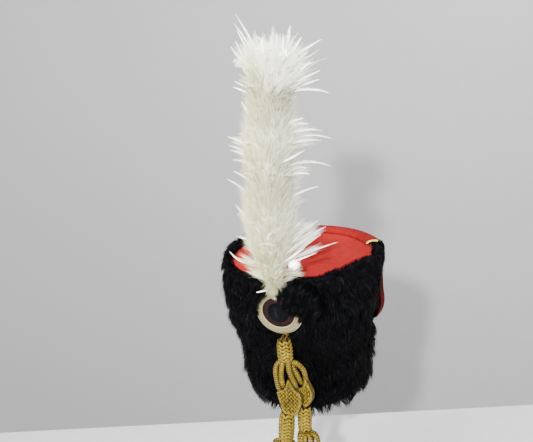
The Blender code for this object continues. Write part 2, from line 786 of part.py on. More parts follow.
def make_tassel(name, mat):
    """A short stalk under a slide, with cord loops that leave it and come back."""
    tassel = TASSELS[name]
    slide_top, slide_bottom, radius = slide_ends(tassel["slider"])
    run = slide_top - slide_bottom
    lean = np.hypot(run[0], run[1]) / run[2]
    top = slide_bottom - (0, 0, SEAT_GAP + radius * lean)
    drop = tassel["drop"]
    shell = Shell()
    angle = np.arange(7) * 2 * pi / 7 + 0.13

    def level(radius, z):
        return shell.ring(top + np.stack([radius * np.cos(angle), radius * np.sin(angle), 0 * angle + z], 1))

    shell.chain([
        shell.ring([top]), level(STALK_RADIUS * 1.3, 0), level(STALK_RADIUS * 1.3, -drop * 0.2),
        level(STALK_RADIUS, -drop * 0.3), level(STALK_RADIUS, -drop), shell.ring([top - (0, 0, drop)]),
    ])
    stalk = shell.make(name, mat)
    for k, (direction, reach) in enumerate(tassel["loops"]):
        out = np.array([sin(radians(direction)), -cos(radians(direction)), 0])
        route = [top + out * reach * r + np.array([0, 0, drop * h]) for r, h in LOOP_PATH]
        loop = Shell()
        tube_rings(loop, resample(smooth_route(route, LOOP_RADIUS), 9), LOOP_RADIUS, 5)
        cutter = loop.make(f"{name}_loop_{k}", mat)
        cutter.hide_render = True
        cutter.display_type = "WIRE"
        join = stalk.modifiers.new(f"loop_{k}", "BOOLEAN")
        join.operation = "UNION"
        join.solver = "EXACT"
        join.object = cutter
    return stalk


def main():
    for obj in list(bpy.data.objects):
        bpy.data.objects.remove(obj, do_unlink=True)
    felt = material("stiff_felt", (0.02, 0.018, 0.018), 0.9)
    fur = material("black_fur", (0.006, 0.006, 0.008), 0.75)
    red = material("red_cloth", (0.55, 0.035, 0.025), 0.85)
    yellow = material("yellow_piping", (0.75, 0.58, 0.12), 0.7)
    ivory = material("ivory_braid", (0.42, 0.36, 0.24), 0.6)
    maroon = material("maroon_silk", (0.06, 0.012, 0.012), 0.5)
    blue_black = material("blue_black_silk", (0.012, 0.014, 0.02), 0.35)
    white = material("white_feather", (0.72, 0.72, 0.66), 0.8)
    gold = material("gold_cord", (0.45, 0.32, 0.07), 0.45, 0.5)

    make_cap_body(felt)
    make_fur(fur)
    make_crown(red)
    middle, normal = make_bag(red)
    make_piping(middle, normal, yellow)
    make_cockade(ivory, maroon, blue_black)
    make_plume(white)
    make_hanger(gold)
    for name in SLIDERS:
        make_slider(name, gold)
    for name in STRANDS:
        make_strand(name, gold)
    for name in PADS:
        make_pad(name, gold)
    for name in TASSELS:
        make_tassel(name, gold)


main()
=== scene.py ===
import bmesh
import bpy
import numpy as np
from mathutils import Matrix


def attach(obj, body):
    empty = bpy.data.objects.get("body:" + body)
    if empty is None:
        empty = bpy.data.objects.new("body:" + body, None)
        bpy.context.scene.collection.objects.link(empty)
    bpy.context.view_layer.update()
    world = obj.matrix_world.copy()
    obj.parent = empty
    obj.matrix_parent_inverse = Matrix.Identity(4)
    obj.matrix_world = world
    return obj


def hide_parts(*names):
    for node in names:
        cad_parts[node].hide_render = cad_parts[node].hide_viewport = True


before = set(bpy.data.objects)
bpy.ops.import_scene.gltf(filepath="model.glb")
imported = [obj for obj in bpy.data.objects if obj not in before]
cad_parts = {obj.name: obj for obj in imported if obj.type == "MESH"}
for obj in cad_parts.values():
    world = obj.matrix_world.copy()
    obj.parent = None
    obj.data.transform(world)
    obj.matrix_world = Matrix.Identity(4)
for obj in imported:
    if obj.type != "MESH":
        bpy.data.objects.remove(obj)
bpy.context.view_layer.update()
print("frame loaded,", len(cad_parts), "nodes")

# Camera: metres and degrees, picture in pixels
camera = {"place": (0.3617, -1.0811, 0.6200), "heading": 21.3, "down": 16.0, "roll": 4.5,
          "lens": 47.48, "sensor": 36.0, "picture": (533, 442), "farClip": 30.0}
skyward = np.array([0.0, 0.0, 1.0])


def cameraAxes():
    # right, up and ahead of a camera that is turned, tipped down and rolled, in that order
    heading, down, roll = np.radians([camera["heading"], camera["down"], camera["roll"]])
    across = np.array([np.cos(heading), np.sin(heading), 0.0])
    ahead = np.array([-np.sin(heading) * np.cos(down), np.cos(heading) * np.cos(down), -np.sin(down)])
    above = np.cross(across, ahead)
    right = across * np.cos(roll) - above * np.sin(roll)
    upward = across * np.sin(roll) + above * np.cos(roll)
    return right, upward, ahead


def inPhoto(x, y, depth):
    # where the lines of sight through pixels (x, y) meet the upright planes Y = depth
    right, upward, ahead = cameraAxes()
    wide, high = camera["picture"]
    focal = camera["lens"] / camera["sensor"] * wide
    x, y, depth = (np.asarray(v, float)[..., None] for v in (x, y, depth))
    ray = ahead + right * (x - wide / 2) / focal + upward * (high / 2 - y) / focal
    place = np.array(camera["place"])
    return place + ray * (depth - place[1]) / ray[..., 1:2]


def setAxes(made, right, upward, back, place):
    # places a camera or a light, whose own +X, +Y and +Z are right, upward and back
    turn = np.eye(4)
    turn[:3] = np.stack([right, upward, back, place], 1)
    made.matrix_world = Matrix(turn.tolist())


def makeCamera():
    data = bpy.data.cameras.new("camera")
    data.lens = camera["lens"]
    data.sensor_width = camera["sensor"]
    data.clip_end = camera["farClip"]
    eye = bpy.data.objects.new("camera", data)
    bpy.context.scene.collection.objects.link(eye)
    right, upward, ahead = cameraAxes()
    setAxes(eye, right, upward, -ahead, camera["place"])
    bpy.context.scene.camera = eye


makeCamera()


# Materials
class Wire:
    # one output socket; arithmetic on it adds Math nodes
    def __init__(self, finish, socket):
        self.finish, self.socket = finish, socket

    def maths(self, operation, first, second=0.0):
        return self.finish.node("ShaderNodeMath", {"operation": operation}, {0: first, 1: second})

    def __add__(self, other):
        return self.maths("ADD", self, other)

    def __radd__(self, other):
        return self.maths("ADD", other, self)

    def __sub__(self, other):
        return self.maths("SUBTRACT", self, other)

    def __rsub__(self, other):
        return self.maths("SUBTRACT", other, self)

    def __mul__(self, other):
        return self.maths("MULTIPLY", self, other)

    def __pow__(self, other):
        return self.maths("POWER", self, other)

    def sine(self):
        return self.maths("SINE", self)

    def size(self):
        return self.maths("ABSOLUTE", self)

    def clipped(self):
        return self.finish.node("ShaderNodeClamp", {}, {"Value": self})


class Finish:
    # one material: constants go on the shader's own sockets, patterns through node()
    def __init__(self, name, **constants):
        self.material = bpy.data.materials.new(name)
        self.material.use_nodes = True
        self.tree = self.material.node_tree
        self.shader = self.tree.nodes["Principled BSDF"]
        for socket, value in constants.items():
            self.put(self.shader.inputs[socket.replace("_", " ")], value)

    def put(self, socket, value):
        if isinstance(value, Wire):
            self.tree.links.new(value.socket, socket)
        elif isinstance(value, tuple) and len(value) == 3 and len(socket.default_value) == 4:
            socket.default_value = (*value, 1.0)
        else:
            socket.default_value = value

    def node(self, kind, settings, inputs, output=0):
        made = self.tree.nodes.new(kind)
        for name, value in settings.items():
            if name == "stops":
                ramp = made.color_ramp.elements
                while len(ramp) < len(value):
                    ramp.new(0.5)
                for stop, (place, colour) in zip(ramp, value):
                    stop.position = place
                    stop.color = (*colour, 1.0)
            else:
                setattr(made, name, value)
        for name, value in inputs.items():
            self.put(made.inputs[name], value)
        return Wire(self, made.outputs[output])

    def place(self, scale=(1, 1, 1)):
        spot = self.node("ShaderNodeTexCoord", {}, {}, "Object")
        return self.node("ShaderNodeMapping", {}, {"Vector": spot, "Scale": scale})

    def mark(self, name):
        return self.node("ShaderNodeAttribute", {"attribute_name": name}, {}, "Fac")

    def noise(self, vector, scale, detail=3.0, rough=0.55, warp=0.0):
        sockets = {"Vector": vector, "Scale": scale, "Detail": detail, "Roughness": rough, "Distortion": warp}
        return self.node("ShaderNodeTexNoise", {}, sockets, "Fac")

    def ramp(self, amount, *stops):
        return self.node("ShaderNodeValToRGB", {"stops": stops}, {"Fac": amount}, "Color")

    def blend(self, amount, first, second):
        return self.node("ShaderNodeMix", {"data_type": "RGBA"}, {"Factor": amount, 6: first, 7: second}, 2)

    def relief(self, height, strength, distance):
        sockets = {"Strength": strength, "Distance": distance, "Height": height}
        bump = self.node("ShaderNodeBump", {}, sockets, "Normal")
        self.put(self.shader.inputs["Normal"], bump)

    def colour(self, value):
        self.put(self.shader.inputs["Base Color"], value)

    def rough(self, value):
        self.put(self.shader.inputs["Roughness"], value)


# Shapes
class Shape:
    # gathers arrays of points, faces and marks on the points, and makes one mesh of them
    def __init__(self):
        self.points, self.quads, self.triangles, self.marks, self.count = [], [], [], {}, 0

    def add(self, points, quads=None, triangles=None, **marks):
        points = np.asarray(points, float).reshape(-1, 3)
        self.points.append(points)
        if quads is not None and len(quads):
            self.quads.append(np.asarray(quads).reshape(-1, 4) + self.count)
        if triangles is not None and len(triangles):
            self.triangles.append(np.asarray(triangles).reshape(-1, 3) + self.count)
        for name, values in marks.items():
            self.marks.setdefault(name, []).append(np.broadcast_to(np.ravel(values), len(points)))
        self.count += len(points)

    def make(self, name, finish, stands, slot):
        points = np.concatenate(self.points)
        quads = np.concatenate(self.quads) if self.quads else np.zeros((0, 4), int)
        triangles = np.concatenate(self.triangles) if self.triangles else np.zeros((0, 3), int)
        mesh = bpy.data.meshes.new(name)
        mesh.vertices.add(len(points))
        mesh.vertices.foreach_set("co", points.astype(np.float32).ravel())
        corners = np.r_[quads.ravel(), triangles.ravel()].astype(np.int32)
        mesh.loops.add(len(corners))
        mesh.loops.foreach_set("vertex_index", corners)
        starts = np.r_[np.arange(len(quads)) * 4, len(quads) * 4 + np.arange(len(triangles)) * 3]
        mesh.polygons.add(len(starts))
        mesh.polygons.foreach_set("loop_start", starts.astype(np.int32))
        mesh.update(calc_edges=True)
        for mark, values in self.marks.items():
            attribute = mesh.attributes.new(mark, "FLOAT", "POINT")
            attribute.data.foreach_set("value", np.concatenate(values).astype(np.float32))
        mesh.polygons.foreach_set("use_smooth", np.full(len(starts), True))
        mesh.materials.append(finish.material)
        piece = bpy.data.objects.new(name, mesh)
        bpy.context.scene.collection.objects.link(piece)
        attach(piece, "root")
        if stands:
            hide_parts(*stands)
        print(f"{name}: {len(quads) * 2 + len(triangles)} triangles")
        return piece


def gridFaces(rows, columns, along=False):
    # quads between neighbouring rows and columns of a grid that closes round its columns, and where asked
    # along its rows too
    i, j = np.meshgrid(np.arange(rows if along else rows - 1), np.arange(columns), indexing="ij")
    below, beside = (i + 1) % rows, (j + 1) % columns
    corners = [i * columns + j, i * columns + beside, below * columns + beside, below * columns + j]
    return np.stack(corners, -1).reshape(-1, 4)


def ends(rows, columns):
    # fans that close a grid's first and last rows on two extra points after it
    j = np.arange(columns)
    after = (j + 1) % columns
    top = (rows - 1) * columns
    first = np.stack([after, j, np.full(columns, rows * columns)], 1)
    last = np.stack([top + j, top + after, np.full(columns, rows * columns + 1)], 1)
    return np.vstack([first, last])


def unit(vectors):
    return vectors / np.maximum(np.linalg.norm(vectors, axis=-1, keepdims=True), 1e-12)


def smoothstep(x, low, high):
    t = np.clip((x - low) / (high - low), 0, 1)
    return t * t * (3 - 2 * t)


def window(x, low, high, last, gone):
    # rises from low to high and falls from last to gone
    return smoothstep(x, low, high) * (1 - smoothstep(x, last, gone))


def turns(count):
    # angles spaced evenly round a full turn
    return np.arange(count) * 2 * np.pi / count


def spoke(angle, side, other):
    # directions at an angle from side towards other
    return np.cos(angle)[..., None] * side + np.sin(angle)[..., None] * other


def lengthAlong(path):
    return np.r_[0, np.cumsum(np.linalg.norm(np.diff(path, axis=0), axis=1))]


def readOff(x, at, path):
    # each of a path's columns at the places x along it
    return [np.interp(x, at, column) for column in path.T]


def evenly(path, count):
    # points spaced evenly along a path
    length = lengthAlong(path)
    return np.stack(readOff(np.linspace(0, length[-1], count), length, path), 1)


def smoothRoute(points, count, closed=False):
    # Catmull-Rom curve: each stretch is a cubic whose end slopes are half the neighbours' difference
    p = np.asarray(points, float)
    before, after = (p[-1:], p[:2]) if closed else (2 * p[0] - p[1], 2 * p[-1] - p[-2])
    wrapped = np.vstack([before, p, after])
    a, b, c, d = wrapped[:-3, None], wrapped[1:-2, None], wrapped[2:-1, None], wrapped[3:, None]
    t = np.linspace(0, 1, 16, endpoint=False)[:, None]
    fine = 0.5 * (2 * b + (c - a) * t + (2 * a - 5 * b + 4 * c - d) * t**2 + (3 * b - a - 3 * c + d) * t**3)
    fine = np.vstack([fine.reshape(-1, p.shape[1]), wrapped[1:2] if closed else p[-1:]])
    return evenly(fine, count)


def carried(line, closed=False):
    # along, side and other directions at each point of a line, carried without twist
    along = unit(np.gradient(line, axis=0))
    if closed:
        along = unit(np.roll(line, -1, 0) - np.roll(line, 1, 0))
    side = np.zeros_like(line)
    current = unit(np.cross(along[0], (0.31, 0.22, 0.9)))
    for k, direction in enumerate(along):
        current = unit(current - direction * current.dot(direction))
        side[k] = current
    return along, side, np.cross(along, side)


def addTube(shape, line, radius, sides=10, flat=1.0, face=None, closed=False, shade=1.0):
    # a circle or flattened circle carried along a line; marks wind (metres along), turn (0 to 1) and
    # crest, a painted shade (1 on the side that faces out, 0 underneath, times the painted shade given as
    # shade)
    line = np.asarray(line, float)
    rows = len(line)
    along, side, other = carried(line, closed)
    if face is not None:
        other = unit(face - along * (face * along).sum(1, keepdims=True))
        side = np.cross(other, along)
    angle = turns(sides)
    radius = np.broadcast_to(radius, rows)[:, None, None]
    points = (line[:, None] + radius * spoke(angle, side[:, None], flat * other[:, None])).reshape(-1, 3)
    crest = np.full(sides, 0.8) if face is None else 0.5 + 0.5 * np.sin(angle)
    crest = np.tile(crest, rows) * np.repeat(np.broadcast_to(shade, rows), sides)
    wind, turn = np.repeat(lengthAlong(line), sides), np.tile(angle / (2 * np.pi), rows)
    if closed:
        shape.add(points, gridFaces(rows, sides, along=True), wind=wind, turn=turn, crest=crest)
    else:
        shape.add(np.vstack([points, line[:1], line[-1:]]), gridFaces(rows, sides), ends(rows, sides),
                  wind=np.r_[wind, wind[[0, -1]]], turn=np.r_[turn, 0, 0], crest=np.r_[crest, crest[[0, -1]]])


def addSpikes(shape, root, tip, bow, width, tone, steps=(0.0, 0.5), taper=(1.0, 0.7),
              face=(0.3, 0.5, 0.8), flat=1.0, sides=3):
    # many tapered hairs at once: root + (tip - root) t + bow 4 t (1 - t), ringed at the steps and closed
    # to a point; marks tone and reach (t)
    count, rings = len(root), len(steps)
    t = np.array(steps)[None, :, None]
    centre = root[:, None] + (tip - root)[:, None] * t + bow[:, None] * 4 * t * (1 - t)
    along = unit(tip - root)
    side = unit(np.cross(along, face))
    angle = turns(sides) + 0.4
    ring = spoke(angle, side[:, None], flat * np.cross(along, side)[:, None])
    spread = np.broadcast_to(width, count)[:, None] * np.array(taper)
    body = centre[:, :, None] + spread[:, :, None, None] * ring[:, None]
    points = np.concatenate([body.reshape(count, -1, 3), tip[:, None]], 1)
    k, last, top = np.arange(sides), (rings - 1) * sides, rings * sides
    cap = np.stack([last + k, last + (k + 1) % sides, np.full(sides, top)], 1)
    base = [[0, 2, 1]] if sides == 3 else [[0, 3, 2], [0, 2, 1]]
    start = (np.arange(count) * (top + 1))[:, None, None]
    shape.add(points, gridFaces(rings, sides) + start, np.vstack([cap, base]) + start,
              tone=np.repeat(np.broadcast_to(tone, count), top + 1),
              reach=np.tile(np.r_[np.repeat(steps, sides), 1.0], count))


def makeTube(name, finish, stands, slot, *tube):
    # a piece of one tube
    shape = Shape()
    addTube(shape, *tube)
    return shape.make(name, finish, stands, slot)


def makeSpikes(name, finish, slot, *spikes):
    # a piece of hairs, which replaces no solid
    shape = Shape()
    addSpikes(shape, *spikes)
    shape.make(name, finish, (), slot)


# Stiff body: an oval below and round above, in metres
body = {"height": 0.230, "rimHalfWidth": 0.092, "rimHalfDepth": 0.101, "topRadius": 0.124}
cockade = {"side": 0.002, "proud": 0.009, "share": 0.7843, "tilt": 8.0, "radius": 0.038, "ring": 0.0115,
           "band": 0.009, "thick": 0.0035, "gap": 0.0003, "shift": 0.0016}
tilt = np.radians(cockade["tilt"])
cockadeMiddle = np.array([cockade["side"], -body["topRadius"] - cockade["proud"],
                          cockade["share"] * body["height"]])
cockadeOut = np.array([0.0, -np.cos(tilt), -np.sin(tilt)])
cockadeUp = np.array([0.0, -np.sin(tilt), np.cos(tilt)])
cockadeSide = np.array([1.0, 0.0, 0.0])


def roundBody(angle, z, out):
    # a point that lies out from the body's wall at a height; angle 0 is the front, +X is a quarter turn
    share = np.clip(z / body["height"], -0.2, 1.0)
    wide = body["rimHalfWidth"] + (body["topRadius"] - body["rimHalfWidth"]) * share
    deep = body["rimHalfDepth"] + (body["topRadius"] - body["rimHalfDepth"]) * share
    angle, z, out = np.broadcast_arrays(angle, z, out)
    return np.stack([(wide + out) * np.sin(angle), -(deep + out) * np.cos(angle), z], -1)


# Gold cord: its two finishes, a plain cord and a braid
def goldFinish(name, pitch, twist, light):
    # thread winding along the cord with painted shade in its grooves, fine specks painted light and dark as
    # glints, and painted shade in the crevices where the mark crest is low, where the metal is also less
    # metallic
    gold = Finish(name, Specular_IOR_Level=0.25)
    wind, turn, crest = gold.mark("wind"), gold.mark("turn"), gold.mark("crest")
    wrap = (wind * (2 * np.pi / pitch) + turn * (2 * np.pi)).sine() * 0.5 + 0.5
    speck = gold.noise(gold.place(), 430.0, 3.0, 0.7)
    patch = gold.noise(gold.place(), 70.0, 2.0)
    # the colour: painted shade where crest is low and in the winding's grooves, painted glints from the
    # specks
    amount = (crest * 0.85 + speck * 0.95 + wrap * twist + patch * 0.40 - 0.95 - 0.5 * twist).clipped()
    half, most = tuple(np.array(light) * (0.40, 0.36, 0.20)), tuple(np.array(light) * 0.75)
    gold.colour(gold.ramp(amount, (0.0, (0.010, 0.006, 0.001)), (0.22, (0.050, 0.030, 0.002)), (0.50, half),
                          (0.75, most), (1.0, light)))
    # painted shade also as metal: crevices where crest is low are less metallic
    gold.put(gold.shader.inputs["Metallic"], (crest * 0.55).clipped())
    gold.rough(0.30 + speck * 0.25)
    gold.relief(wrap + speck * 0.5, 0.7, 0.0008)
    return gold


goldCord = goldFinish("goldCord", 0.0036, 0.46, (0.39, 0.285, 0.034))
goldBraid = goldFinish("goldBraid", 0.0022, 0.18, (0.48, 0.365, 0.042))

# Cords between the slides and the pads, in metres from the cockade's middle
strands = {
    "strand_left_outer": [(0.0016, -0.0125, -0.0770), (-0.0058, -0.0140, -0.0839),
                          (-0.0082, -0.0160, -0.0954), (-0.0072, -0.0155, -0.1124),
                          (-0.0054, -0.0148, -0.1244)],
    "strand_left_inner": [(0.0062, -0.0193, -0.0760), (0.0036, -0.0200, -0.0874), (0.0022, -0.0195, -0.1004),
                          (0.0024, -0.0180, -0.1139)],
    "strand_mid_left": [(0.0146, -0.0192, -0.0754), (0.0150, -0.0185, -0.0879), (0.0180, -0.0160, -0.1034),
                        (0.0218, -0.0120, -0.1174)],
    "strand_mid_right": [(0.0072, -0.0044, -0.0778), (0.0140, -0.0040, -0.0854), (0.0215, -0.0065, -0.0974),
                         (0.0258, -0.0062, -0.1069), (0.0276, -0.0040, -0.1144)],
    "strand_right": [(0.0155, -0.0110, -0.0790), (0.0245, -0.0100, -0.0804), (0.0320, -0.0080, -0.0874),
                     (0.0358, -0.0055, -0.0974), (0.0362, -0.0025, -0.1092)],
}
strandRadius = 0.0043
strandEnd = 0.0065  # how far each end runs on, into the slide and into the pad's border


def makeStrands():
    # a tube along each route, thinner at its lower end, where it goes under the pad's border
    for name, places in strands.items():
        line = cockadeMiddle + smoothRoute(places, 40)
        ahead, back = unit(line[-1] - line[-2]), unit(line[0] - line[1])
        line = np.vstack([line[0] + unit(back + skyward) * strandEnd, line, line[-1] + ahead * strandEnd])
        line = smoothRoute(np.vstack([line[::3], line[-1:]]), 34)
        share = np.linspace(0, 1, len(line))
        ridges = 1 + 0.05 * np.sin(share * 60 + len(name)) * (share < 0.9)
        radius = strandRadius * ridges * (1 - 0.35 * smoothstep(share, 0.86, 1.0))
        piece = makeTube("cord_" + name[7:], goldCord, [name], "gold_cord", line, radius, 14)


makeStrands()

# Slides: top and bottom from the cockade's middle, radius, rows of plait
slides = {
    "slider_top": {"top": (0.0084, -0.0125, -0.0405), "bottom": (0.0090, -0.0125, -0.0744),
                   "radius": 0.0115, "rows": 6},
    "slider_left": {"top": (0.0043, -0.0110, -0.1700), "bottom": (-0.0015, -0.0100, -0.2195),
                    "radius": 0.0122, "rows": 8},
    "slider_right": {"top": (0.0315, -0.0020, -0.1614), "bottom": (0.0298, -0.0035, -0.2004),
                     "radius": 0.0106, "rows": 7},
}
plait = {"columns": 6, "samples": 112, "fat": 0.41, "drop": 0.992, "dip": 0.11, "core": 0.70}


def makeSlide(name):
    # each row is a zigzag ring: height is a triangle wave of the angle, and the ring dips in at its
    # corners, where it is painted darker as shade; a core painted dark as shade fills the middle, lit only at
    # its top
    slide = slides[name]
    top, bottom = cockadeMiddle + slide["top"], cockadeMiddle + slide["bottom"]
    axis = unit(bottom - top)
    side = unit(np.cross(axis, (0, 1, 0)))
    other = np.cross(axis, side)
    length = np.linalg.norm(bottom - top)
    pitch = length / slide["rows"]
    angle = turns(plait["samples"])
    wave = np.abs((angle * plait["columns"] / (2 * np.pi)) % 1 * 2 - 1)
    corner = np.abs(2 * wave - 1) ** 4
    outward = spoke(angle, side, other)
    shape = Shape()
    for row in range(slide["rows"]):
        share = (row + 0.5) / slide["rows"]
        swell = 0.87 + 0.06 * np.sin(np.pi * share) - 0.34 * np.exp(-share / 0.09)
        radius = slide["radius"] * (swell - plait["dip"] * corner)
        down = share * length + pitch * plait["drop"] * (0.5 - wave)
        line = top + axis * down[:, None] + radius[:, None] * outward
        # painted shade: each row is darker at its corners, where it dips in
        addTube(shape, line, pitch * plait["fat"], 10, flat=0.85, face=outward, closed=True,
                shade=1 - 0.45 * corner)
    rows = np.linspace(0, 1, 14)
    core = slide["radius"] * plait["core"] * np.sqrt(np.clip(1 - (rows * 2 - 1) ** 8, 0.05, 1))
    # painted shade: the core is dark, except its top row and top end
    addTube(shape, top + axis * (rows * length)[:, None], core, 20, shade=0.9 * (rows < 0.05))
    shape.make("slide_" + name[7:], goldBraid, [name], "gold_cord")


for slideName in slides:
    makeSlide(slideName)

# Pads: middle from the cockade's middle, turn about the vertical, outline round the middle
pads = {
    "pad_left": {"middle": (0.0120, -0.0130, -0.1404), "turn": 0.0, "outline": [
        (-0.0005, 0.0325), (0.0050, 0.0240), (0.0098, 0.0155), (0.0160, 0.0105), (0.0192, 0.0040),
        (0.0196, -0.0050), (0.0175, -0.0130), (0.0135, -0.0225), (0.0070, -0.0300), (-0.0030, -0.0302),
        (-0.0110, -0.0285), (-0.0140, -0.0225), (-0.0160, -0.0140), (-0.0180, -0.0060), (-0.0200, 0.0030),
        (-0.0205, 0.0085), (-0.0160, 0.0115), (-0.0090, 0.0160), (-0.0045, 0.0240)]},
    "pad_right": {"middle": (0.0335, -0.0005, -0.1374), "turn": -17.0, "outline": [
        (0.0025, 0.0270), (0.0095, 0.0180), (0.0148, 0.0060), (0.0140, -0.0050), (0.0100, -0.0130),
        (0.0050, -0.0200), (-0.0010, -0.0236), (-0.0070, -0.0200), (-0.0115, -0.0130), (-0.0140, -0.0040),
        (-0.0135, 0.0040), (-0.0085, 0.0080), (-0.0030, 0.0115), (0.0000, 0.0180)]},
}
weave = {"thick": 0.009, "pitch": 0.0047, "strand": 0.00072, "apart": 0.00074, "lift": 0.0010, "slope": 48.0,
         "reach": 0.07, "samples": 151, "rows": 14, "inset": 0.95, "height": 0.72}
padRope = {"radius": 0.00145, "samples": 301, "turns": 24, "inset": 0.0020, "wide": 0.00125, "high": 0.0013,
           "height": 0.58}


def area(outline):
    # signed area of a flat closed outline
    x, y = outline[:, 0], outline[:, 1]
    return 0.5 * (x * np.roll(y, -1) - y * np.roll(x, -1)).sum()


def inside(points, outline):
    # even-odd test of points (n, 2) against a closed outline
    x, y = points[:, None, 0], points[:, None, 1]
    a, b = outline, np.roll(outline, -1, 0)
    meets = (b[:, 0] - a[:, 0]) * (y - a[:, 1]) / (b[:, 1] - a[:, 1] + 1e-15) + a[:, 0]
    crossing = ((a[:, 1] > y) != (b[:, 1] > y)) & (x < meets)
    return crossing.sum(1) % 2 == 1


def makePad(name):
    # a domed plate, over which two families of slanting double strands pass over and under each other:
    # height is a cosine of the crossing number; two ropes wind round the border on each face. Painted shade
    # darkens the plate's faces, the strands where they pass under and the ropes where they dip towards the
    # plate
    pad = pads[name]
    middle = cockadeMiddle + pad["middle"]
    turn = np.radians(pad["turn"])
    across = np.array([np.cos(turn), np.sin(turn), 0.0])
    front = np.cross(across, skyward)
    outline = smoothRoute(pad["outline"], 121, closed=True)[:-1]
    count, half = len(outline), weave["thick"] / 2

    def lifted(flat, height):
        return middle + flat[:, :1] * across + flat[:, 1:] * skyward + np.asarray(height)[:, None] * front

    shape = Shape()
    dome = [(0.02, 0.62), (0.4, 0.66), (0.8, 0.52), (0.97, 0.3)]
    rings = dome + [(scale, -height) for scale, height in dome[::-1]]
    plate = [lifted(outline * scale, np.full(count, height * half)) for scale, height in rings]
    plate = np.vstack(plate + [lifted(np.zeros((1, 2)), [side * dome[0][1] * half]) for side in (1, -1)])
    # painted shade: the plate's faces are dark under the weave, its edge rings half lit
    crest = np.r_[np.repeat([0.0, 0.0, 0.0, 0.6, 0.6, 0.0, 0.0, 0.0], count), 0.0, 0.0]
    order = -1 if area(outline) > 0 else 1
    shape.add(plate, gridFaces(len(rings), count)[:, ::order], ends(len(rings), count)[:, ::order],
              wind=plate[:, 2] * 0.7, turn=0.3, crest=crest)
    slope = np.radians(weave["slope"])
    t = np.linspace(-weave["reach"], weave["reach"], weave["samples"])[:, None]
    for family, sign in ((0, 1), (1, -1)):
        run = np.array([np.cos(slope) * sign, np.sin(slope)])
        step = np.array([run[1], -run[0]])
        partner = np.array([np.sin(slope), np.cos(slope) * sign])
        for k in range(-weave["rows"], weave["rows"] + 1):
            whole = step * k * weave["pitch"] + run * t
            kept = np.flatnonzero(inside(whole / weave["inset"], outline))
            for span in np.split(kept, np.flatnonzero(np.diff(kept) > 1) + 1):
                if len(span) < 5:
                    continue
                flat = whole[span]
                over = np.cos(np.pi * (flat @ partner / weave["pitch"] + k + family))
                for beside in (-1, 1):
                    for side in (1, -1):
                        height = side * (weave["height"] * half + over * weave["lift"])
                        line = lifted(flat + step * beside * weave["apart"], height)
                        # painted light and shade: lighter where a strand passes over, darker where it passes
                        # under
                        addTube(shape, line, weave["strand"], 5, face=front * side, shade=0.84 + 0.30 * over)
    edge = smoothRoute(pad["outline"], padRope["samples"], closed=True)[:-1]
    along = unit(np.roll(edge, -1, 0) - np.roll(edge, 1, 0))
    outward = np.stack([along[:, 1], -along[:, 0]], 1) * np.sign(area(outline))
    for side, size in ((1, 1.0), (-1, 0.9)):
        for start in (0, np.pi):
            phase = np.linspace(0, 2 * np.pi * padRope["turns"], padRope["samples"])[:-1] + start
            flat = edge + outward * (np.cos(phase) * padRope["wide"] - padRope["inset"])[:, None]
            line = lifted(flat, side * padRope["height"] * half + np.sin(phase) * padRope["high"])
            # painted shade: darker where the rope dips towards the plate, lighter where it rises
            shade = 0.72 + 0.38 * side * np.sin(phase)
            addTube(shape, line, padRope["radius"] * size, 6, closed=True, shade=shade)
    shape.make("plaited_" + name, goldBraid, [name], "gold_cord")


for padName in pads:
    makePad(padName)

# Tassels: bunches of cord loops; each loop has a direction in degrees and a reach
tassels = {
    "tassel_left": {"slide": "slider_left", "drop": 0.0385, "loops": [
        (-95, 0.0250), (-62, 0.0215), (-30, 0.0190), (2, 0.0190), (34, 0.0165), (66, 0.0140), (118, 0.0140),
        (160, 0.0130), (-150, 0.0170)]},
    "tassel_right": {"slide": "slider_right", "drop": 0.0420, "loops": [
        (80, 0.0252), (50, 0.0232), (20, 0.0200), (-12, 0.0165), (-44, 0.0140), (-80, 0.0115), (112, 0.0200),
        (150, 0.0150), (-140, 0.0130)]},
}
# A loop's path, as share of its reach and of its depth
loopPath = [(0.10, -0.12), (0.42, -0.13), (0.80, -0.20), (1.0, -0.45), (0.93, -0.72), (0.62, -0.93),
            (0.15, -0.90)]
loopRadius = 0.0031


def makeTassel(name):
    # each loop leaves the slide, swings out by its reach and comes back under it, round a stalk painted dark
    # as shade
    tassel, dice = tassels[name], np.random.default_rng(len(name))
    top = cockadeMiddle + slides[tassel["slide"]]["bottom"] - skyward * 0.0012
    shape = Shape()
    for direction, reach in tassel["loops"]:
        out = np.array([np.sin(np.radians(direction)), -np.cos(np.radians(direction)), 0.0])
        across = np.array([-out[1], out[0], 0.0]) * dice.uniform(-0.0015, 0.0015)
        deep = tassel["drop"] * dice.uniform(0.90, 1.0)
        route = [top + out * reach * share + across * k + skyward * deep * height
                 for k, (share, height) in enumerate(loopPath)]
        ridges = 1 + 0.05 * np.sin(np.arange(60) * 1.9 + reach * 900)
        addTube(shape, smoothRoute(route, 60), loopRadius * ridges, 12)
    rows = np.linspace(0, 1, 10)
    stalk = top - skyward * (rows * tassel["drop"] * 0.9)[:, None]
    # painted shade: the stalk inside the loops is dark
    addTube(shape, stalk, 0.0052 - 0.001 * rows, 14, shade=0.3)
    shape.make("bunch_" + name[7:], goldCord, [name], "gold_cord")


for tasselName in tassels:
    makeTassel(tasselName)

hanger = {"radius": 0.0015, "spread": 0.0032, "foot": (0.0084, -0.0125, -0.0411)}


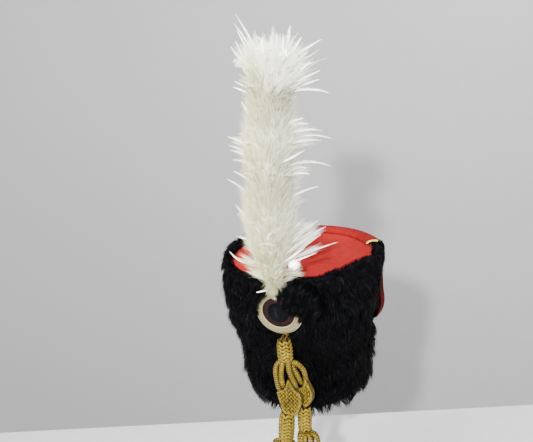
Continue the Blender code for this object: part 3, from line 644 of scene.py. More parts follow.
def makeHanger():
    # a bar under the cockade with two legs that run forward to the slide
    thin = hanger["radius"]
    low = cockadeMiddle - cockadeUp * cockade["radius"] + cockadeOut * cockade["thick"] * 0.35
    foot = cockadeMiddle + hanger["foot"]
    middle = np.array([foot[0] - hanger["spread"] / 2, 0, 0])
    bar = low * (0, 1, 1) + middle - skyward * (thin + cockade["gap"])
    leg = foot * (0, 1, 1) + middle + (0, -0.7 * thin, 0.4 * thin)
    knee = (bar + leg) / 2 + skyward * 0.4 * thin
    side = np.array([hanger["spread"], 0, 0])
    route = [leg - side, knee - side, bar - side * 0.8, bar + side * 0.8, knee + side, leg + side]
    makeTube("hangingLoop", goldCord, ["hanger_loop"], "gold_cord", smoothRoute(route, 40), thin, 10)


makeHanger()
print("gold ornament made")


# Cockade
def turnedGrid(profile, sides, lift=None):
    # turns (radius, height) rows about the cockade's axis; lift(angle, radius) adds height, and the inner
    # rows lie off the middle by the shift
    profile = np.asarray(profile, float)
    angle = turns(sides)
    radius, height = profile[:, :1], profile[:, 1:]
    height = height + (lift(angle[None], radius) if lift else 0.0)
    inward = np.clip((cockade["radius"] - radius) / cockade["ring"], 0, 1)[..., None]
    shift = -cockade["shift"] * inward * cockadeSide
    spokes = radius[..., None] * spoke(angle, cockadeUp, cockadeSide)
    return cockadeMiddle + shift + spokes + height[..., None] * cockadeOut


def addRing(shape, profile, sides, lift=None, **marks):
    # a closed ring with the mark around, which runs from 0 to 1
    around = np.tile(turns(sides) / (2 * np.pi), len(profile))
    shape.add(turnedGrid(profile, sides, lift), gridFaces(len(profile), sides, along=True), around=around,
              **marks)


ringInner = cockade["radius"] - cockade["ring"]
bandOuter = ringInner - cockade["gap"]
bandInner = bandOuter - cockade["band"]
discRadius = bandInner - cockade["gap"]


def makeBraidRing():
    # five cords side by side on a bulging ring, with slanting threads; the partings between the cords and two
    # grooves are painted dark as shade
    ivory = Finish("ivoryBraid", Roughness=0.75, Specular_IOR_Level=0.2)
    across, around = ivory.mark("across"), ivory.mark("around")
    slant = (around * (2 * np.pi * 110) + across * 9.0).sine() * 0.5 + 0.5
    # painted shade: darkening at the partings between the cords, and below at two grooves
    cords = 1 - (across * (np.pi * 5)).sine().size()
    groove = (1 - ((across - 0.5).size() - 0.33).size() * 22.0).clipped()
    fibre = ivory.noise(ivory.place(), 420.0, 4.0, 0.7)
    patch = ivory.noise(ivory.place(), 60.0, 2.0)
    edge = ((across - 0.5).size() * 2.0) ** 5.0
    light = 0.12 + edge * 0.42 + fibre * 0.60 + slant * 0.28 + patch * 0.26
    amount = (light - cords ** 2.0 * 0.34 - groove * 0.40).clipped()
    ivory.colour(ivory.ramp(amount, (0.0, (0.030, 0.023, 0.011)), (0.35, (0.088, 0.073, 0.033)),
                            (0.65, (0.172, 0.146, 0.074)), (1.0, (0.30, 0.268, 0.150))))
    ivory.relief(slant * 0.6 + fibre * 0.6 - cords, 0.7, 0.0006)
    share, sides = np.linspace(0, 1, 37), 128
    bulge = cockade["thick"] * (0.50 + 0.36 * np.sin(np.pi * share) ** 0.5)
    height = bulge + 0.00075 * np.abs(np.sin(5 * np.pi * share))
    front = np.stack([ringInner + cockade["ring"] * share, height], 1)[::-1]
    profile = np.vstack([front, [[ringInner, 0.0], [cockade["radius"], 0.0]]])
    shape = Shape()
    addRing(shape, profile, sides, across=np.repeat(np.r_[share[::-1], 0.0, 1.0], sides))
    shape.make("braidRing", ivory, ["cockade_ring"], "ivory_braid")


def makeSilkBand():
    # a band that slopes down to the ring in fine pleats, painted lighter and darker across each pleat as its
    # light and shade
    maroon = Finish("maroonSilk", Roughness=0.5, Specular_IOR_Level=0.09)
    crease = maroon.noise(maroon.place(), 140.0, 3.0, warp=0.5)
    pleat = (maroon.mark("around") * (2 * np.pi * 64) + crease * 3.0).sine() * 0.5 + 0.5
    # painted light and shade of the pleats, with creases
    amount = (pleat * 0.6 + crease * 0.4).clipped()
    maroon.colour(maroon.ramp(amount, (0.0, (0.0018, 0.0006, 0.0006)), (0.5, (0.0072, 0.0021, 0.0023)),
                              (1.0, (0.0240, 0.0062, 0.0064))))
    maroon.relief(pleat + crease * 0.5, 0.6, 0.0005)
    share = np.linspace(0, 1, 15)
    height = cockade["thick"] * (0.85 - 0.35 * share + 0.12 * np.sin(np.pi * share))
    front = np.stack([bandInner + (bandOuter - bandInner) * share, height], 1)[::-1]
    profile = np.vstack([front, [[bandInner, 0.0], [bandOuter, 0.0]]])

    def folds(angle, radius):
        inward = np.clip((bandOuter - radius) / (bandOuter - bandInner), 0, 1)
        inward = inward * (np.abs(radius - bandInner) > 1e-9)
        return 0.00022 * np.sin(angle * 31 + 2 * np.sin(angle * 5)) * inward

    shape = Shape()
    addRing(shape, profile, 160, folds)
    shape.make("silkBand", maroon, ["cockade_band"], "maroon_silk")


def makeSilkCentre():
    # a cushion whose height is a quarter sine of the way in, with a few folds above the middle; its colour
    # carries a painted sheen: a soft light streak left of the middle, two thin painted highlights above it,
    # and fine painted sheen streaks, also given as bump
    dark = Finish("blueBlackSilk", Specular_IOR_Level=0.045)
    streak = dark.noise(dark.place((240, 60, 30)), 1.0, 3.0)
    cloud = dark.noise(dark.place(), 70.0, 2.0)
    amount = (streak * 0.4 + cloud * 0.4 - 0.1 + dark.mark("sheen") * 0.6).clipped()
    dark.colour(dark.ramp(amount, (0.0, (0.0005, 0.0006, 0.0010)), (0.55, (0.0013, 0.0017, 0.0028)),
                          (1.0, (0.0100, 0.0118, 0.0165))))
    dark.rough(0.24 + cloud * 0.2)
    dark.relief(streak, 0.35, 0.0005)
    share, sides = np.linspace(0, 1, 22)[:-1], 120
    height = cockade["thick"] * (0.85 + 0.55 * np.sin(share * np.pi / 2))
    front = np.stack([discRadius * (1 - share), height], 1)
    profile = np.vstack([[[0.0006, 0.0]], [[discRadius, 0.0]], front])

    def soft(angle, radius):
        x, y = radius * np.sin(angle), radius * np.cos(angle)
        fold = 0.00030 * np.sin(y * 2100 + 3 * np.sin(x * 260)) * np.exp(-((y - 0.005) / 0.004) ** 2)
        return fold * smoothstep(discRadius - radius, 0.001, 0.004) * (radius > 0.001)

    centre = cockadeMiddle - cockade["shift"] * cockadeSide
    points = turnedGrid(profile, sides, soft).reshape(-1, 3)
    points = np.vstack([points, [centre], [centre + cockadeOut * cockade["thick"] * 1.4]])
    flat = points - cockadeMiddle
    side, up = flat @ cockadeSide / discRadius, flat @ cockadeUp / discRadius
    # painted sheen: a soft light streak left of the middle and two thin painted highlight lines above the
    # middle
    sheen = np.exp(-((side + 0.30 + 0.15 * up) / 0.16) ** 2 - (up / 0.7) ** 2)
    sheen += 0.8 * np.exp(-((up - 0.42) / 0.035) ** 2 - ((side + 0.1) / 0.3) ** 2)
    sheen += 0.6 * np.exp(-((up - 0.54) / 0.03) ** 2 - ((side + 0.05) / 0.25) ** 2)
    size = len(profile), sides
    shape = Shape()
    shape.add(points, gridFaces(*size)[:, ::-1], ends(*size)[:, ::-1], sheen=sheen)
    shape.make("silkCentre", dark, ["cockade_centre"], "blue_black_silk")


makeBraidRing()
makeSilkBand()
makeSilkCentre()
print("cockade made")


# Red cloth
def clothFinish(name, reds, shadeBelow=None):
    # fine fibre, a warped nap and soft clouds choose among the reds; below the height shadeBelow they are
    # painted a quarter as light, as shade
    cloth = Finish(name, Roughness=0.95, Specular_IOR_Level=0.08, Sheen_Weight=0.02, Sheen_Roughness=0.5,
                   Sheen_Tint=(1.0, 0.3, 0.25))
    spot = cloth.place()
    fibre = cloth.noise(spot, 420.0, 5.0, 0.7)
    nap = cloth.noise(cloth.place(), 95.0, 3.0, warp=0.8)
    cloud = cloth.noise(spot, 16.0, 2.0)
    amount = (fibre * 0.85 + nap * 0.40 + cloud * 0.30 - 0.27).clipped()

    def lit(light):
        stops = [(stop, tuple(light * v for v in red)) for stop, red in zip((0.25, 0.5, 0.78), reds)]
        return cloth.ramp(amount, *stops)

    colour = lit(1.0)
    if shadeBelow:
        height = cloth.node("ShaderNodeSeparateXYZ", {}, {0: spot}, 2)
        # painted shade: a quarter as light below the height
        colour = cloth.blend(((height - shadeBelow) * 18.0).clipped(), lit(0.25), colour)
    cloth.colour(colour)
    cloth.relief(fibre + nap * 0.6, 0.5, 0.0009)
    return cloth


redFelt = clothFinish("redFelt", [(0.180, 0.0062, 0.0062), (0.300, 0.0112, 0.0106), (0.43, 0.0200, 0.0180)])
# the bag's felt is the crown's red painted darker, as the bag's shade, and darker still below 0.16 m as
# painted shade
bagFeltShaded = clothFinish("bagFeltShaded", [(0.115, 0.0038, 0.0038), (0.190, 0.0068, 0.0066), (0.27, 0.0120, 0.0110)],
                      shadeBelow=0.16)
crown = {"radius": 0.1214, "lift": 0.0003, "thick": 0.0025, "dome": 0.0012, "rows": 46, "columns": 120}


def makeCrown():
    # a disc whose height is a low dome plus a few soft waves, with a flat underside
    radius = np.linspace(0.002, crown["radius"], crown["rows"])
    r, a = np.meshgrid(radius, turns(crown["columns"]), indexing="ij")
    x, y = r * np.sin(a), -r * np.cos(a)
    soft = 0.0004 * np.sin(x * 62 + 1.3 * np.sin(y * 41)) + 0.0003 * np.sin(y * 75 + x * 30)
    edge = smoothstep(crown["radius"] - r, 0.0, 0.004)
    bottom = body["height"] + crown["lift"]
    dome = crown["dome"] * (1 - (r / crown["radius"]) ** 2)
    z = bottom + crown["thick"] * (0.45 + 0.55 * edge) + dome + soft * edge
    upper = np.stack([x, y, z], -1).reshape(-1, 3)
    under = np.stack([x[::-1], y[::-1], np.full_like(x, bottom)], -1).reshape(-1, 3)
    size = 2 * crown["rows"], crown["columns"]
    shape = Shape()
    shape.add(np.vstack([upper, under, [(0, 0, z[0, 0]), (0, 0, bottom)]]), gridFaces(*size), ends(*size))
    piece = shape.make("crownFelt", redFelt, ["crown_cloth"], "red_cloth")


makeCrown()

# The bag's path from its seam over the rim and down: share of the body's height, share of the fur's depth
bag = {"path": [(1.0152, -0.57), (1.0252, -0.56), (1.0370, -0.42), (1.0435, -0.11), (1.0400, 0.34),
                (1.0196, 0.69), (0.9740, 0.92), (0.9087, 0.98), (0.8087, 1.07), (0.6783, 1.23),
                (0.5609, 1.47), (0.4739, 1.46), (0.3870, 1.24), (0.3130, 1.00)],
       "cloth": 0.003, "middle": 153.0, "half": 37.0, "straight": 0.66, "rows": 40, "roundRows": 30,
       "columns": 60, "piping": 0.0018, "tuck": 0.0095, "forward": 7.0}
furDepth = 0.0185


def sideRoute(shares, count):
    # a smooth route up or down the hat's side: height and distance out, and the length along it
    route = smoothRoute(np.array(shares) * (body["height"], furDepth), count)
    return route, lengthAlong(route)


bagPath, bagLength = sideRoute(bag["path"], 200)


def bagGrid():
    # rows run down the drop and columns across; the sides close in a half ellipse, and soft folds run down
    turn = np.linspace(0, np.radians(84), bag["roundRows"])
    down = np.r_[np.linspace(0, bag["straight"], bag["rows"], endpoint=False),
                 bag["straight"] + (1 - bag["straight"]) * np.sin(turn)][:, None]
    width = np.r_[np.ones(bag["rows"]), np.cos(turn)][:, None]
    z, out = readOff(bagLength[-1] * down, bagLength, bagPath)
    across = np.linspace(-1, 1, bag["columns"] + 1)[None]
    hang = smoothstep(down, 0.35, 0.75) * (1 - 0.5 * smoothstep(down, 0.85, 1.0))
    fold = hang * (0.0016 * np.sin(across * 7.5 + down * 2.0) + 0.0009 * np.sin(across * 16 + 1.0 - down * 5))
    swing = window(down, 0.36, 0.50, 0.84, 0.96)
    angle = np.radians(bag["middle"] + bag["half"] * width * across)
    angle = angle - np.radians(bag["forward"]) * swing * np.clip(-across, 0, 1) ** 2
    tuck = bag["tuck"] * smoothstep(np.abs(across), 0.80, 1.0) * smoothstep(down, 0.30, 0.44)
    return roundBody(angle, z, out + fold + 0.0015 * swing - tuck)


def fixNormals(piece):
    # turns a closed mesh's faces outward
    shell = bmesh.new()
    shell.from_mesh(piece.data)
    bmesh.ops.recalc_face_normals(shell, faces=shell.faces)
    shell.to_mesh(piece.data)
    shell.free()


def makeBag():
    # each row is a ring round the cloth's thickness, and two strips close the first and the last ring;
    # returns the middle surface and the directions square to it
    grid = bagGrid()
    normal = unit(np.cross(np.gradient(grid, axis=1), np.gradient(grid, axis=0)))
    rows, columns = grid.shape[:2]
    normal *= np.sign((normal[-8, columns // 2] * grid[-8, columns // 2] * (1, 1, 0)).sum())
    inner, middle, outer = (grid + normal * bag["cloth"] * share for share in (0.0, 0.5, 1.0))
    ring = np.concatenate([inner, middle[:, -1:], outer[:, ::-1], middle[:, :1]], 1)
    wide = ring.shape[1]
    faces, triangles = [gridFaces(rows, wide)], []
    for row, start, order in ((0, rows * wide, 1), ((rows - 1) * wide, rows * wide + columns, -1)):
        near = row + np.arange(columns - 1)
        far = row + wide - 2 - np.arange(columns - 1)
        between = start + np.arange(columns - 1)
        faces.append(np.stack([near, near + 1, between + 1, between], 1)[:, ::order])
        faces.append(np.stack([between, between + 1, far - 1, far], 1)[:, ::order])
        left, right, last = row + wide - 1, row + columns, start + columns - 1
        corners = [[left, row, start], [left - 1, left, start], [right - 1, right, last],
                   [right, right + 1, last]]
        triangles += [corner[::order] for corner in corners]
    shape = Shape()
    shape.add(np.vstack([ring.reshape(-1, 3), middle[0], middle[-1]]), np.vstack(faces), triangles)
    piece = shape.make("bagCloth", bagFeltShaded, ["bag"], "red_cloth")
    fixNormals(piece)
    return middle, normal


def makePiping(middle, normal):
    # a thin cord beside the bag's two sides and round its end, sunk into the fur beside the front edge
    edge, face = (np.vstack([v[1:, 0], v[-1, 1:-1], v[1:, -1][::-1]]) for v in (middle, normal))
    beside = unit(np.cross(unit(np.gradient(edge, axis=0)), face))
    half = len(middle) // 2
    beside *= -np.sign(beside[half].dot(middle[half, 1] - middle[half, 0]))
    share = np.linspace(0, 1, len(middle) - 1)
    sink = (0.0055 + 0.0040 * smoothstep(share, 0.45, 0.60)) * window(share, 0.34, 0.48, 0.88, 0.99)
    edge[:len(sink)] -= face[:len(sink)] * sink[:, None]
    line = evenly(edge + beside * (bag["piping"] + 0.0004), 220)
    yellow = Finish("yellowPiping", Roughness=0.65, Sheen_Weight=0.3)
    wind, turn = yellow.mark("wind"), yellow.mark("turn")
    twill = (wind * (2 * np.pi / 0.0011) + turn * (2 * np.pi * 3)).sine() * 0.5 + 0.5
    fibre = yellow.noise(yellow.place(), 300.0, 3.0)
    amount = (twill * 0.35 + fibre * 0.6).clipped()
    yellow.colour(yellow.ramp(amount, (0.1, (0.44, 0.31, 0.02)), (0.5, (0.74, 0.57, 0.05)),
                              (0.9, (0.88, 0.74, 0.13))))
    yellow.relief(twill + fibre * 0.5, 0.5, 0.0003)
    makeTube("bagEdging", yellow, ["bag_piping"], "yellow_piping", line, bag["piping"] * 0.85, 12)


makePiping(*makeBag())
print("red cloth made")

# Fur: the path from the crown over the rim to the hem, as share of the body's height and of the fur's depth;
# at each direction in degrees, how flat the roll over the rim is pressed and how many mm the hairs reach over
# the crown; bulges as direction, level in metres, size in mm, and width in degrees and in metres
fur = {"path": [(1.0125, -0.60), (1.0780, -0.48), (1.0935, -0.06), (1.0750, 0.33), (1.0210, 0.60),
                (0.9340, 0.76), (0.8610, 0.83), (0.7660, 0.85), (0.6700, 0.91), (0.5690, 0.96),
                (0.4860, 0.89), (0.3910, 0.61), (0.2830, 0.51), (0.1740, 0.60), (0.0650, 0.68),
                (0.0000, 0.60), (-0.0260, 0.22)],
       "press": [(0, 0.85), (35, 0.85), (60, 0.60), (75, 0.60), (88, 0.80), (112, 0.82), (194, 0.70),
                 (206, 0.15), (245, 0.30), (285, 0.35), (303, 0.75), (325, 0.85), (360, 0.85)],
       "over": [(0, 2), (8, 1), (20, 3), (22.5, 0), (28, 0), (31, 1), (35, 8), (40, 13), (44, 9), (48, 4),
                (55, 5), (62, 6), (70, 3), (78, 2), (93, 3), (104, 2), (112, 2), (190, 2), (200, 6),
                (209, 2), (221, 7), (236, 3), (247, 8), (262, 3), (276, 6), (290, 2), (303, 4), (316, 1),
                (352, 1), (360, 2)],
       "bulges": [(286, 0.117, 8.5, 12, 0.014), (282, 0.165, 2.0, 24, 0.030), (104, 0.068, 6.0, 18, 0.032)],
       "seat": 0.0008, "clear": 0.016, "parting": 0.015, "partingAngle": 10.0, "floor": 0.002, "sunk": 0.0042,
       "lump": 0.0021, "step": 0.103, "bareDrop": 0.0042, "bareGap": 0.0028, "bagPress": 0.0078,
       "rows": 72, "columns": 160}
furPath, furLength = sideRoute(fur["path"], 260)
furTotal = furLength[-1]


def behindCockade(points):
    # presses the fur back to the cockade's seat, less and less beyond its edge
    depth = (points - cockadeMiddle) @ cockadeOut
    flat = points - cockadeMiddle - depth[..., None] * cockadeOut
    beyond = np.linalg.norm(flat, axis=-1) - cockade["radius"]
    room = -fur["seat"] + np.maximum(0.0, beyond - fur["clear"] / 2) * 0.25
    push = np.maximum(0.0, depth - room) * (points[..., 1] < 0)
    return points - cockadeOut * push[..., None]


def byDirection(name, degrees):
    # what one of the fur's tables says at a direction
    return np.interp(degrees % 360, *np.array(fur[name]).T)


def besideBag(angle, z):
    # 1 on the fur in front of the bag, where it lies flat, fading to 0 round it
    return window(np.degrees(angle) % 360, 72, 92, 118, 130) * window(z, 0.088, 0.112, 0.178, 0.198)


def furLump(angle, z):
    # soft heaps: a few bulges, and three crossing waves round the body
    degrees = np.degrees(angle) % 360
    heap = sum(size / 1000 * np.exp(-((degrees - at) / wide) ** 2 - ((z - level) / tall) ** 2)
               for at, level, size, wide, tall in fur["bulges"])
    waves = np.sin(5 * angle + 34 * z) + 0.9 * np.sin(9 * angle - 58 * z + 2)
    waves = waves + 0.7 * np.sin(17 * angle + 84 * z + 1)
    return heap + fur["lump"] * waves * window(z, -0.005, 0.02, 0.205, 0.235)


def furSkin(share, angle):
    # the fur's inner mass: the path turned about the body, flattened over the rim, parted and pressed
    down = share * furTotal
    z, out, angle = np.broadcast_arrays(*readOff(down, furLength, furPath), angle)
    degrees = np.degrees(angle)
    press = byDirection("press", degrees)
    base = furPath[0, 0]
    rim = z >= base
    bare = smoothstep(press, 0.6, 0.85) * (np.cos(angle) > 0)
    z = np.where(rim, base + (z - base) * (1 - press) - fur["bareDrop"] * bare, z)
    rolled = np.maximum(out, out * (1 - press))
    edge = crown["radius"] + fur["bareGap"] - body["topRadius"]
    out = np.where(rim, np.maximum(rolled, edge * bare + rolled * (1 - bare)), out)
    off = np.abs((degrees % 360 + 180) % 360 - 180)
    foot = cockadeMiddle[2]
    parting = np.exp(-((off / fur["partingAngle"]) ** 2))
    parting = parting * smoothstep(z, foot, foot + 0.3 * cockade["radius"])
    sunk = fur["sunk"] * smoothstep(down, 0.004, 0.030)
    sunk = sunk + fur["bagPress"] * besideBag(angle, z) - furLump(angle, z) * (sunk > 0)
    out = np.maximum(out - sunk - fur["parting"] * parting, np.minimum(out, fur["floor"]))
    return behindCockade(roundBody(angle, z, out))


# Hair is near black, lighter for a high tone, which on a few hairs is a painted glint, and a little towards
# the tips
furHair = Finish("blackFur", Roughness=0.42, Specular_IOR_Level=0.055)
hairLight = (furHair.mark("tone") * 0.85 + furHair.mark("reach") * 0.15).clipped()
furHair.colour(furHair.ramp(hairLight, (0.0, (0.0003, 0.0003, 0.0005)), (0.5, (0.0012, 0.0013, 0.0020)),
                            (0.8, (0.0066, 0.0069, 0.0088)), (1.0, (0.035, 0.036, 0.041))))


def makeFurSkin():
    # the inner mass as a closed skin, whose inner side lies close to the body
    skin = Finish("furSkin", Roughness=0.9, Specular_IOR_Level=0.05)
    speck = skin.noise(skin.place(), 300.0, 4.0)
    skin.colour(skin.ramp(speck, (0.2, (0.0005, 0.0005, 0.0007)), (0.8, (0.0020, 0.0020, 0.0024))))
    skin.relief(speck, 0.8, 0.002)
    angle = turns(fur["columns"])
    high = body["height"]
    back = [(-0.0003, 0.0006), (high * 0.5, 0.0009), (high, 0.0009), (high + 0.0031, 0.0009)]
    points = np.concatenate([furSkin(np.linspace(0, 1, fur["rows"])[:, None], angle[None]),
                             [roundBody(angle, z, out) for z, out in back]])
    shape = Shape()
    shape.add(points, gridFaces(len(points), fur["columns"], along=True)[:, ::-1])
    shape.make("furSkin", skin, ["fur_cover"], "black_fur")


makeFurSkin()

tuft = {"hairs": 32500, "clumpHeight": 0.0140, "clumpTurn": 9.0, "length": (0.013, 0.024), "width": 0.00039,
        "gather": 0.7, "glint": 0.05, "swirl": 0.75}


def fromBag(angle):
    # degrees from the bag's middle
    return np.abs((np.degrees(angle) - bag["middle"] + 180) % 360 - 180)


def makeFurHairs():
    # hairs stand in clumps: each tip is drawn part of the way to its clump's own tip, and their lie wanders
    dice = np.random.default_rng(5)
    count = int(tuft["hairs"] * (1.0))
    share, angle = dice.uniform(0, 1, count), dice.uniform(0, 2 * np.pi, count)
    rim = count // 9  # more hairs stand along the rim, over the crown
    share[:rim] = dice.uniform(0, 0.075, rim)
    rows, columns = int(furTotal / tuft["clumpHeight"]), int(360 / tuft["clumpTurn"])
    row = np.floor(share * rows).astype(int)
    column = np.floor(angle * columns / (2 * np.pi) + 0.5 * (row % 2)).astype(int) % columns
    clump = dice.uniform(-1, 1, (rows + 1, columns, 6))[row, column]
    clumpShare = (row + 0.5 + 0.45 * clump[:, 0]) / rows
    clumpAngle = (column + 0.5 - 0.5 * (row % 2) + 0.45 * clump[:, 1]) * 2 * np.pi / columns
    root = furSkin(share, angle)
    z = root[:, 2]
    down = share * furTotal
    length = dice.uniform(*tuft["length"], count) * (1 + 0.35 * clump[:, 2])
    length *= 1 + 0.5 * (1 - smoothstep(z, 0.0, 0.045))
    # hairs on the roll's inner side lean to the crown
    inward = 1.0 * (down < dice.uniform(0.010, 0.018, count))
    press = byDirection("press", np.degrees(angle))
    swirl = np.sin(4 * angle + 47 * z) + 0.7 * np.sin(7 * angle - 66 * z + 1.0)
    lie = tuft["swirl"] * swirl * 0.6 + 0.45 * clump[:, 4]
    ahead = 0.88 * np.cos(lie) * length
    nearBag = 1 - smoothstep(fromBag(angle), bag["half"] + 1.5, bag["half"] + 7)
    free = (1 - nearBag * (down < 0.20)) * (1 - 0.65 * besideBag(angle, z))
    free *= 0.45 + 0.55 * smoothstep(z, -0.01, 0.03)
    lift = length * (0.29 + 0.17 * clump[:, 3]) * (1 - 0.25 * smoothstep(z, 0.215, 0.240))
    sway = (length * np.sin(lie) * 0.8 + dice.normal(0, 0.0018, count)) / body["topRadius"]
    stepAt = np.interp(fur["step"], furPath[::-1, 0], furLength[::-1])
    limit = np.where(down < stepAt, stepAt + 0.003 + 0.004 * dice.uniform(-1, 1, count),
                     furTotal + 0.019 + 0.005 * clump[:, 2])

    def tipAt(share0, angle0):
        # a length ahead on the skin, then off it; past the hem it hangs down
        beyond = np.minimum(share0 * furTotal + ahead, limit)
        hem = np.maximum(0.0, beyond - furTotal)
        point = furSkin(np.clip(beyond / furTotal, 0, 1), angle0)
        outward = unit(roundBody(angle0, point[:, 2], 1.0) - roundBody(angle0, point[:, 2], 0.0))
        rise = smoothstep(point[:, 2], body["height"] * 0.99, body["height"] * 1.07) * (1 - 0.6 * press)
        away = unit(outward * (1 - 0.9 * rise[:, None]) + skyward * rise[:, None])
        point = point + away * (lift * free)[:, None]
        point[:, 2] -= hem * 0.92
        return point - outward * (hem * 0.22)[:, None]

    tip = tipAt(share, angle + sway)
    together = tipAt(clumpShare, clumpAngle + sway * 0.6)
    tip = tip + (together - tip) * (tuft["gather"] * dice.uniform(0.3, 1.0, count)[:, None])
    outward = unit(root * (1, 1, 0))
    reach = byDirection("over", np.degrees(angle) + dice.normal(0, 1.0, count)) / 1000
    reach = reach * dice.uniform(0.5, 1.15, count)
    overCrown = root - outward * (0.85 * reach + 0.001)[:, None] + skyward * (0.002 + 0.50 * reach)[:, None]
    overCrown += np.cross(outward, skyward) * (0.35 * reach * clump[:, 4])[:, None]
    tip = np.where(inward[:, None] > 0.5, overCrown, tip)
    tip += dice.normal(0, 0.0010, (count, 3))
    guard = dice.uniform(0, 1, count) < 0.16  # single hairs that stand off the heaps
    stray = outward + dice.normal(0, 0.35, (count, 3))
    tip += stray * (guard * 0.0042 * dice.uniform(0.4, 1.3, count) * (1 - inward) * free)[:, None]
    bow = outward * (length * 0.12 * free * (1 - inward))[:, None]
    bow += skyward * (length * (0.05 + 0.10 * inward))[:, None]
    # what lies under the bag, and what would fall across the cockade or the plume's foot, is left out
    keep = ~((fromBag(angle) < bag["half"] - 3) & (down > 0.004) & (down < 0.19))
    for t in (0.0, 0.35, 0.7, 1.0):
        at = root + (tip - root) * t + bow * 4 * t * (1 - t)
        flat = at - cockadeMiddle
        flat = flat - (flat @ cockadeOut)[:, None] * cockadeOut
        keep &= ~((np.linalg.norm(flat, axis=1) < cockade["radius"] - 0.001) & (at[:, 1] < 0))
        keep &= ~((np.abs(at[:, 0]) < 0.006) & (at[:, 1] < -0.126) & (at[:, 2] > 0.21))
    upper = smoothstep(z, 0.10, 0.19)
    tone = np.clip(0.22 + 0.16 * upper + 0.18 * clump[:, 5] + dice.normal(0, 0.16, count), 0, 0.78)
    # painted glints: a few hairs, more of them higher up, get a light tone as highlights
    glint = dice.uniform(0, 1, count) < tuft["glint"] * (0.3 + upper)
    tone = np.where(glint, dice.uniform(0.8, 1.0, count), tone)
    width = tuft["width"] * dice.uniform(0.7, 1.4, count) * np.where(guard, 0.75, 1.0)
    band = np.digitize(share, [0.26, 0.60])
    for part, name in enumerate(("furUpper", "furMiddle", "furLower")):
        pick = keep & (band == part)
        spikes = [v[pick] for v in (root, tip, bow, width, tone)]
        makeSpikes(name, furHair, "black_fur", *spikes, (0.0, 0.55), (1.0, 0.75))


makeFurHairs()

bagFringe = {"hairs": 4000, "span": (0.115, 0.70), "rootTurn": (1.0, 8.0), "clump": 0.009, "width": 0.00036}


def makeBagFringe():
    # hairs rooted beside the bag's front edge lie over it and hide the piping, from the rim downward
    dice = np.random.default_rng(17)
    count = bagFringe["hairs"]
    down = bagLength[-1] * dice.uniform(*bagFringe["span"], count)
    part = down / bagLength[-1]
    z, out = readOff(down, bagLength, bagPath)
    rise, outgo = np.array(readOff(down + 0.003, bagLength, bagPath)) - (z, out)
    away = np.array([-outgo, rise]) / np.linalg.norm([rise, outgo], axis=0)
    up, off = away * (-1 if away[0].sum() < 0 else 1)
    tuck = bag["tuck"] * smoothstep(part, 0.30, 0.44)
    hang, low = smoothstep(part, 0.36, 0.50), 1 - smoothstep(part, 0.10, 0.15)
    clump = np.floor(down / bagFringe["clump"] + 0.4 * np.sin(down * 900))
    edge = bag["middle"] - bag["half"] - bag["forward"] * hang
    start = np.radians(edge - dice.uniform(*bagFringe["rootTurn"], count))
    past = (2.6 + 1.4 * np.sin(clump * 2.1)) * (1 - 0.4 * hang) - 1.2 * hang - low
    past = past + 2.2 * smoothstep(part, 0.46, 0.58)
    stop = np.radians(edge + past + dice.normal(0, 0.9, count))
    fall = 0.006 * smoothstep(part, 0.1, 0.3)
    height = bag["cloth"] + 0.0022 - 0.0026 * hang - 0.0019 * low + 0.0012 * dice.uniform(-1, 1, count)
    root = roundBody(start, z - 0.004 * (fall > 0), np.minimum(out - tuck, 0.014) - 0.004)
    tip = roundBody(stop, z + up * height - fall, out + off * height - tuck * 0.75)
    tip += dice.normal(0, 0.0009, (count, 3))
    high = 0.0045 - 0.0034 * hang - 0.0036 * low
    bow = roundBody(start, z + up * high, out + off * high) - roundBody(start, z, out)
    tone = np.clip(dice.normal(0.3, 0.15, count), 0, 0.8)
    makeSpikes("furBesideBag", furHair, "black_fur", root, tip, bow, bagFringe["width"], tone, (0.0, 0.45),
               (1.0, 0.85))


makeBagFringe()

# Fur over the cockade: where it ends and where it starts, in cockade radii to the side and up
fringe = {"hairs": 3600,
          "line": [(0.00, 0.70), (0.12, 0.40), (0.30, 0.04), (0.55, -0.20), (0.80, -0.40), (1.06, -0.53)],
          "from": [(0.24, 1.28), (0.55, 1.28), (0.90, 1.10), (1.25, 0.80), (1.45, 0.40), (1.50, -0.10)],
          "width": 0.00042, "haze": 420, "hazeAngles": (116, 188), "hazeRoot": 1.07, "hazeTip": (0.80, 0.96),
          "hazeWidth": 0.00030}


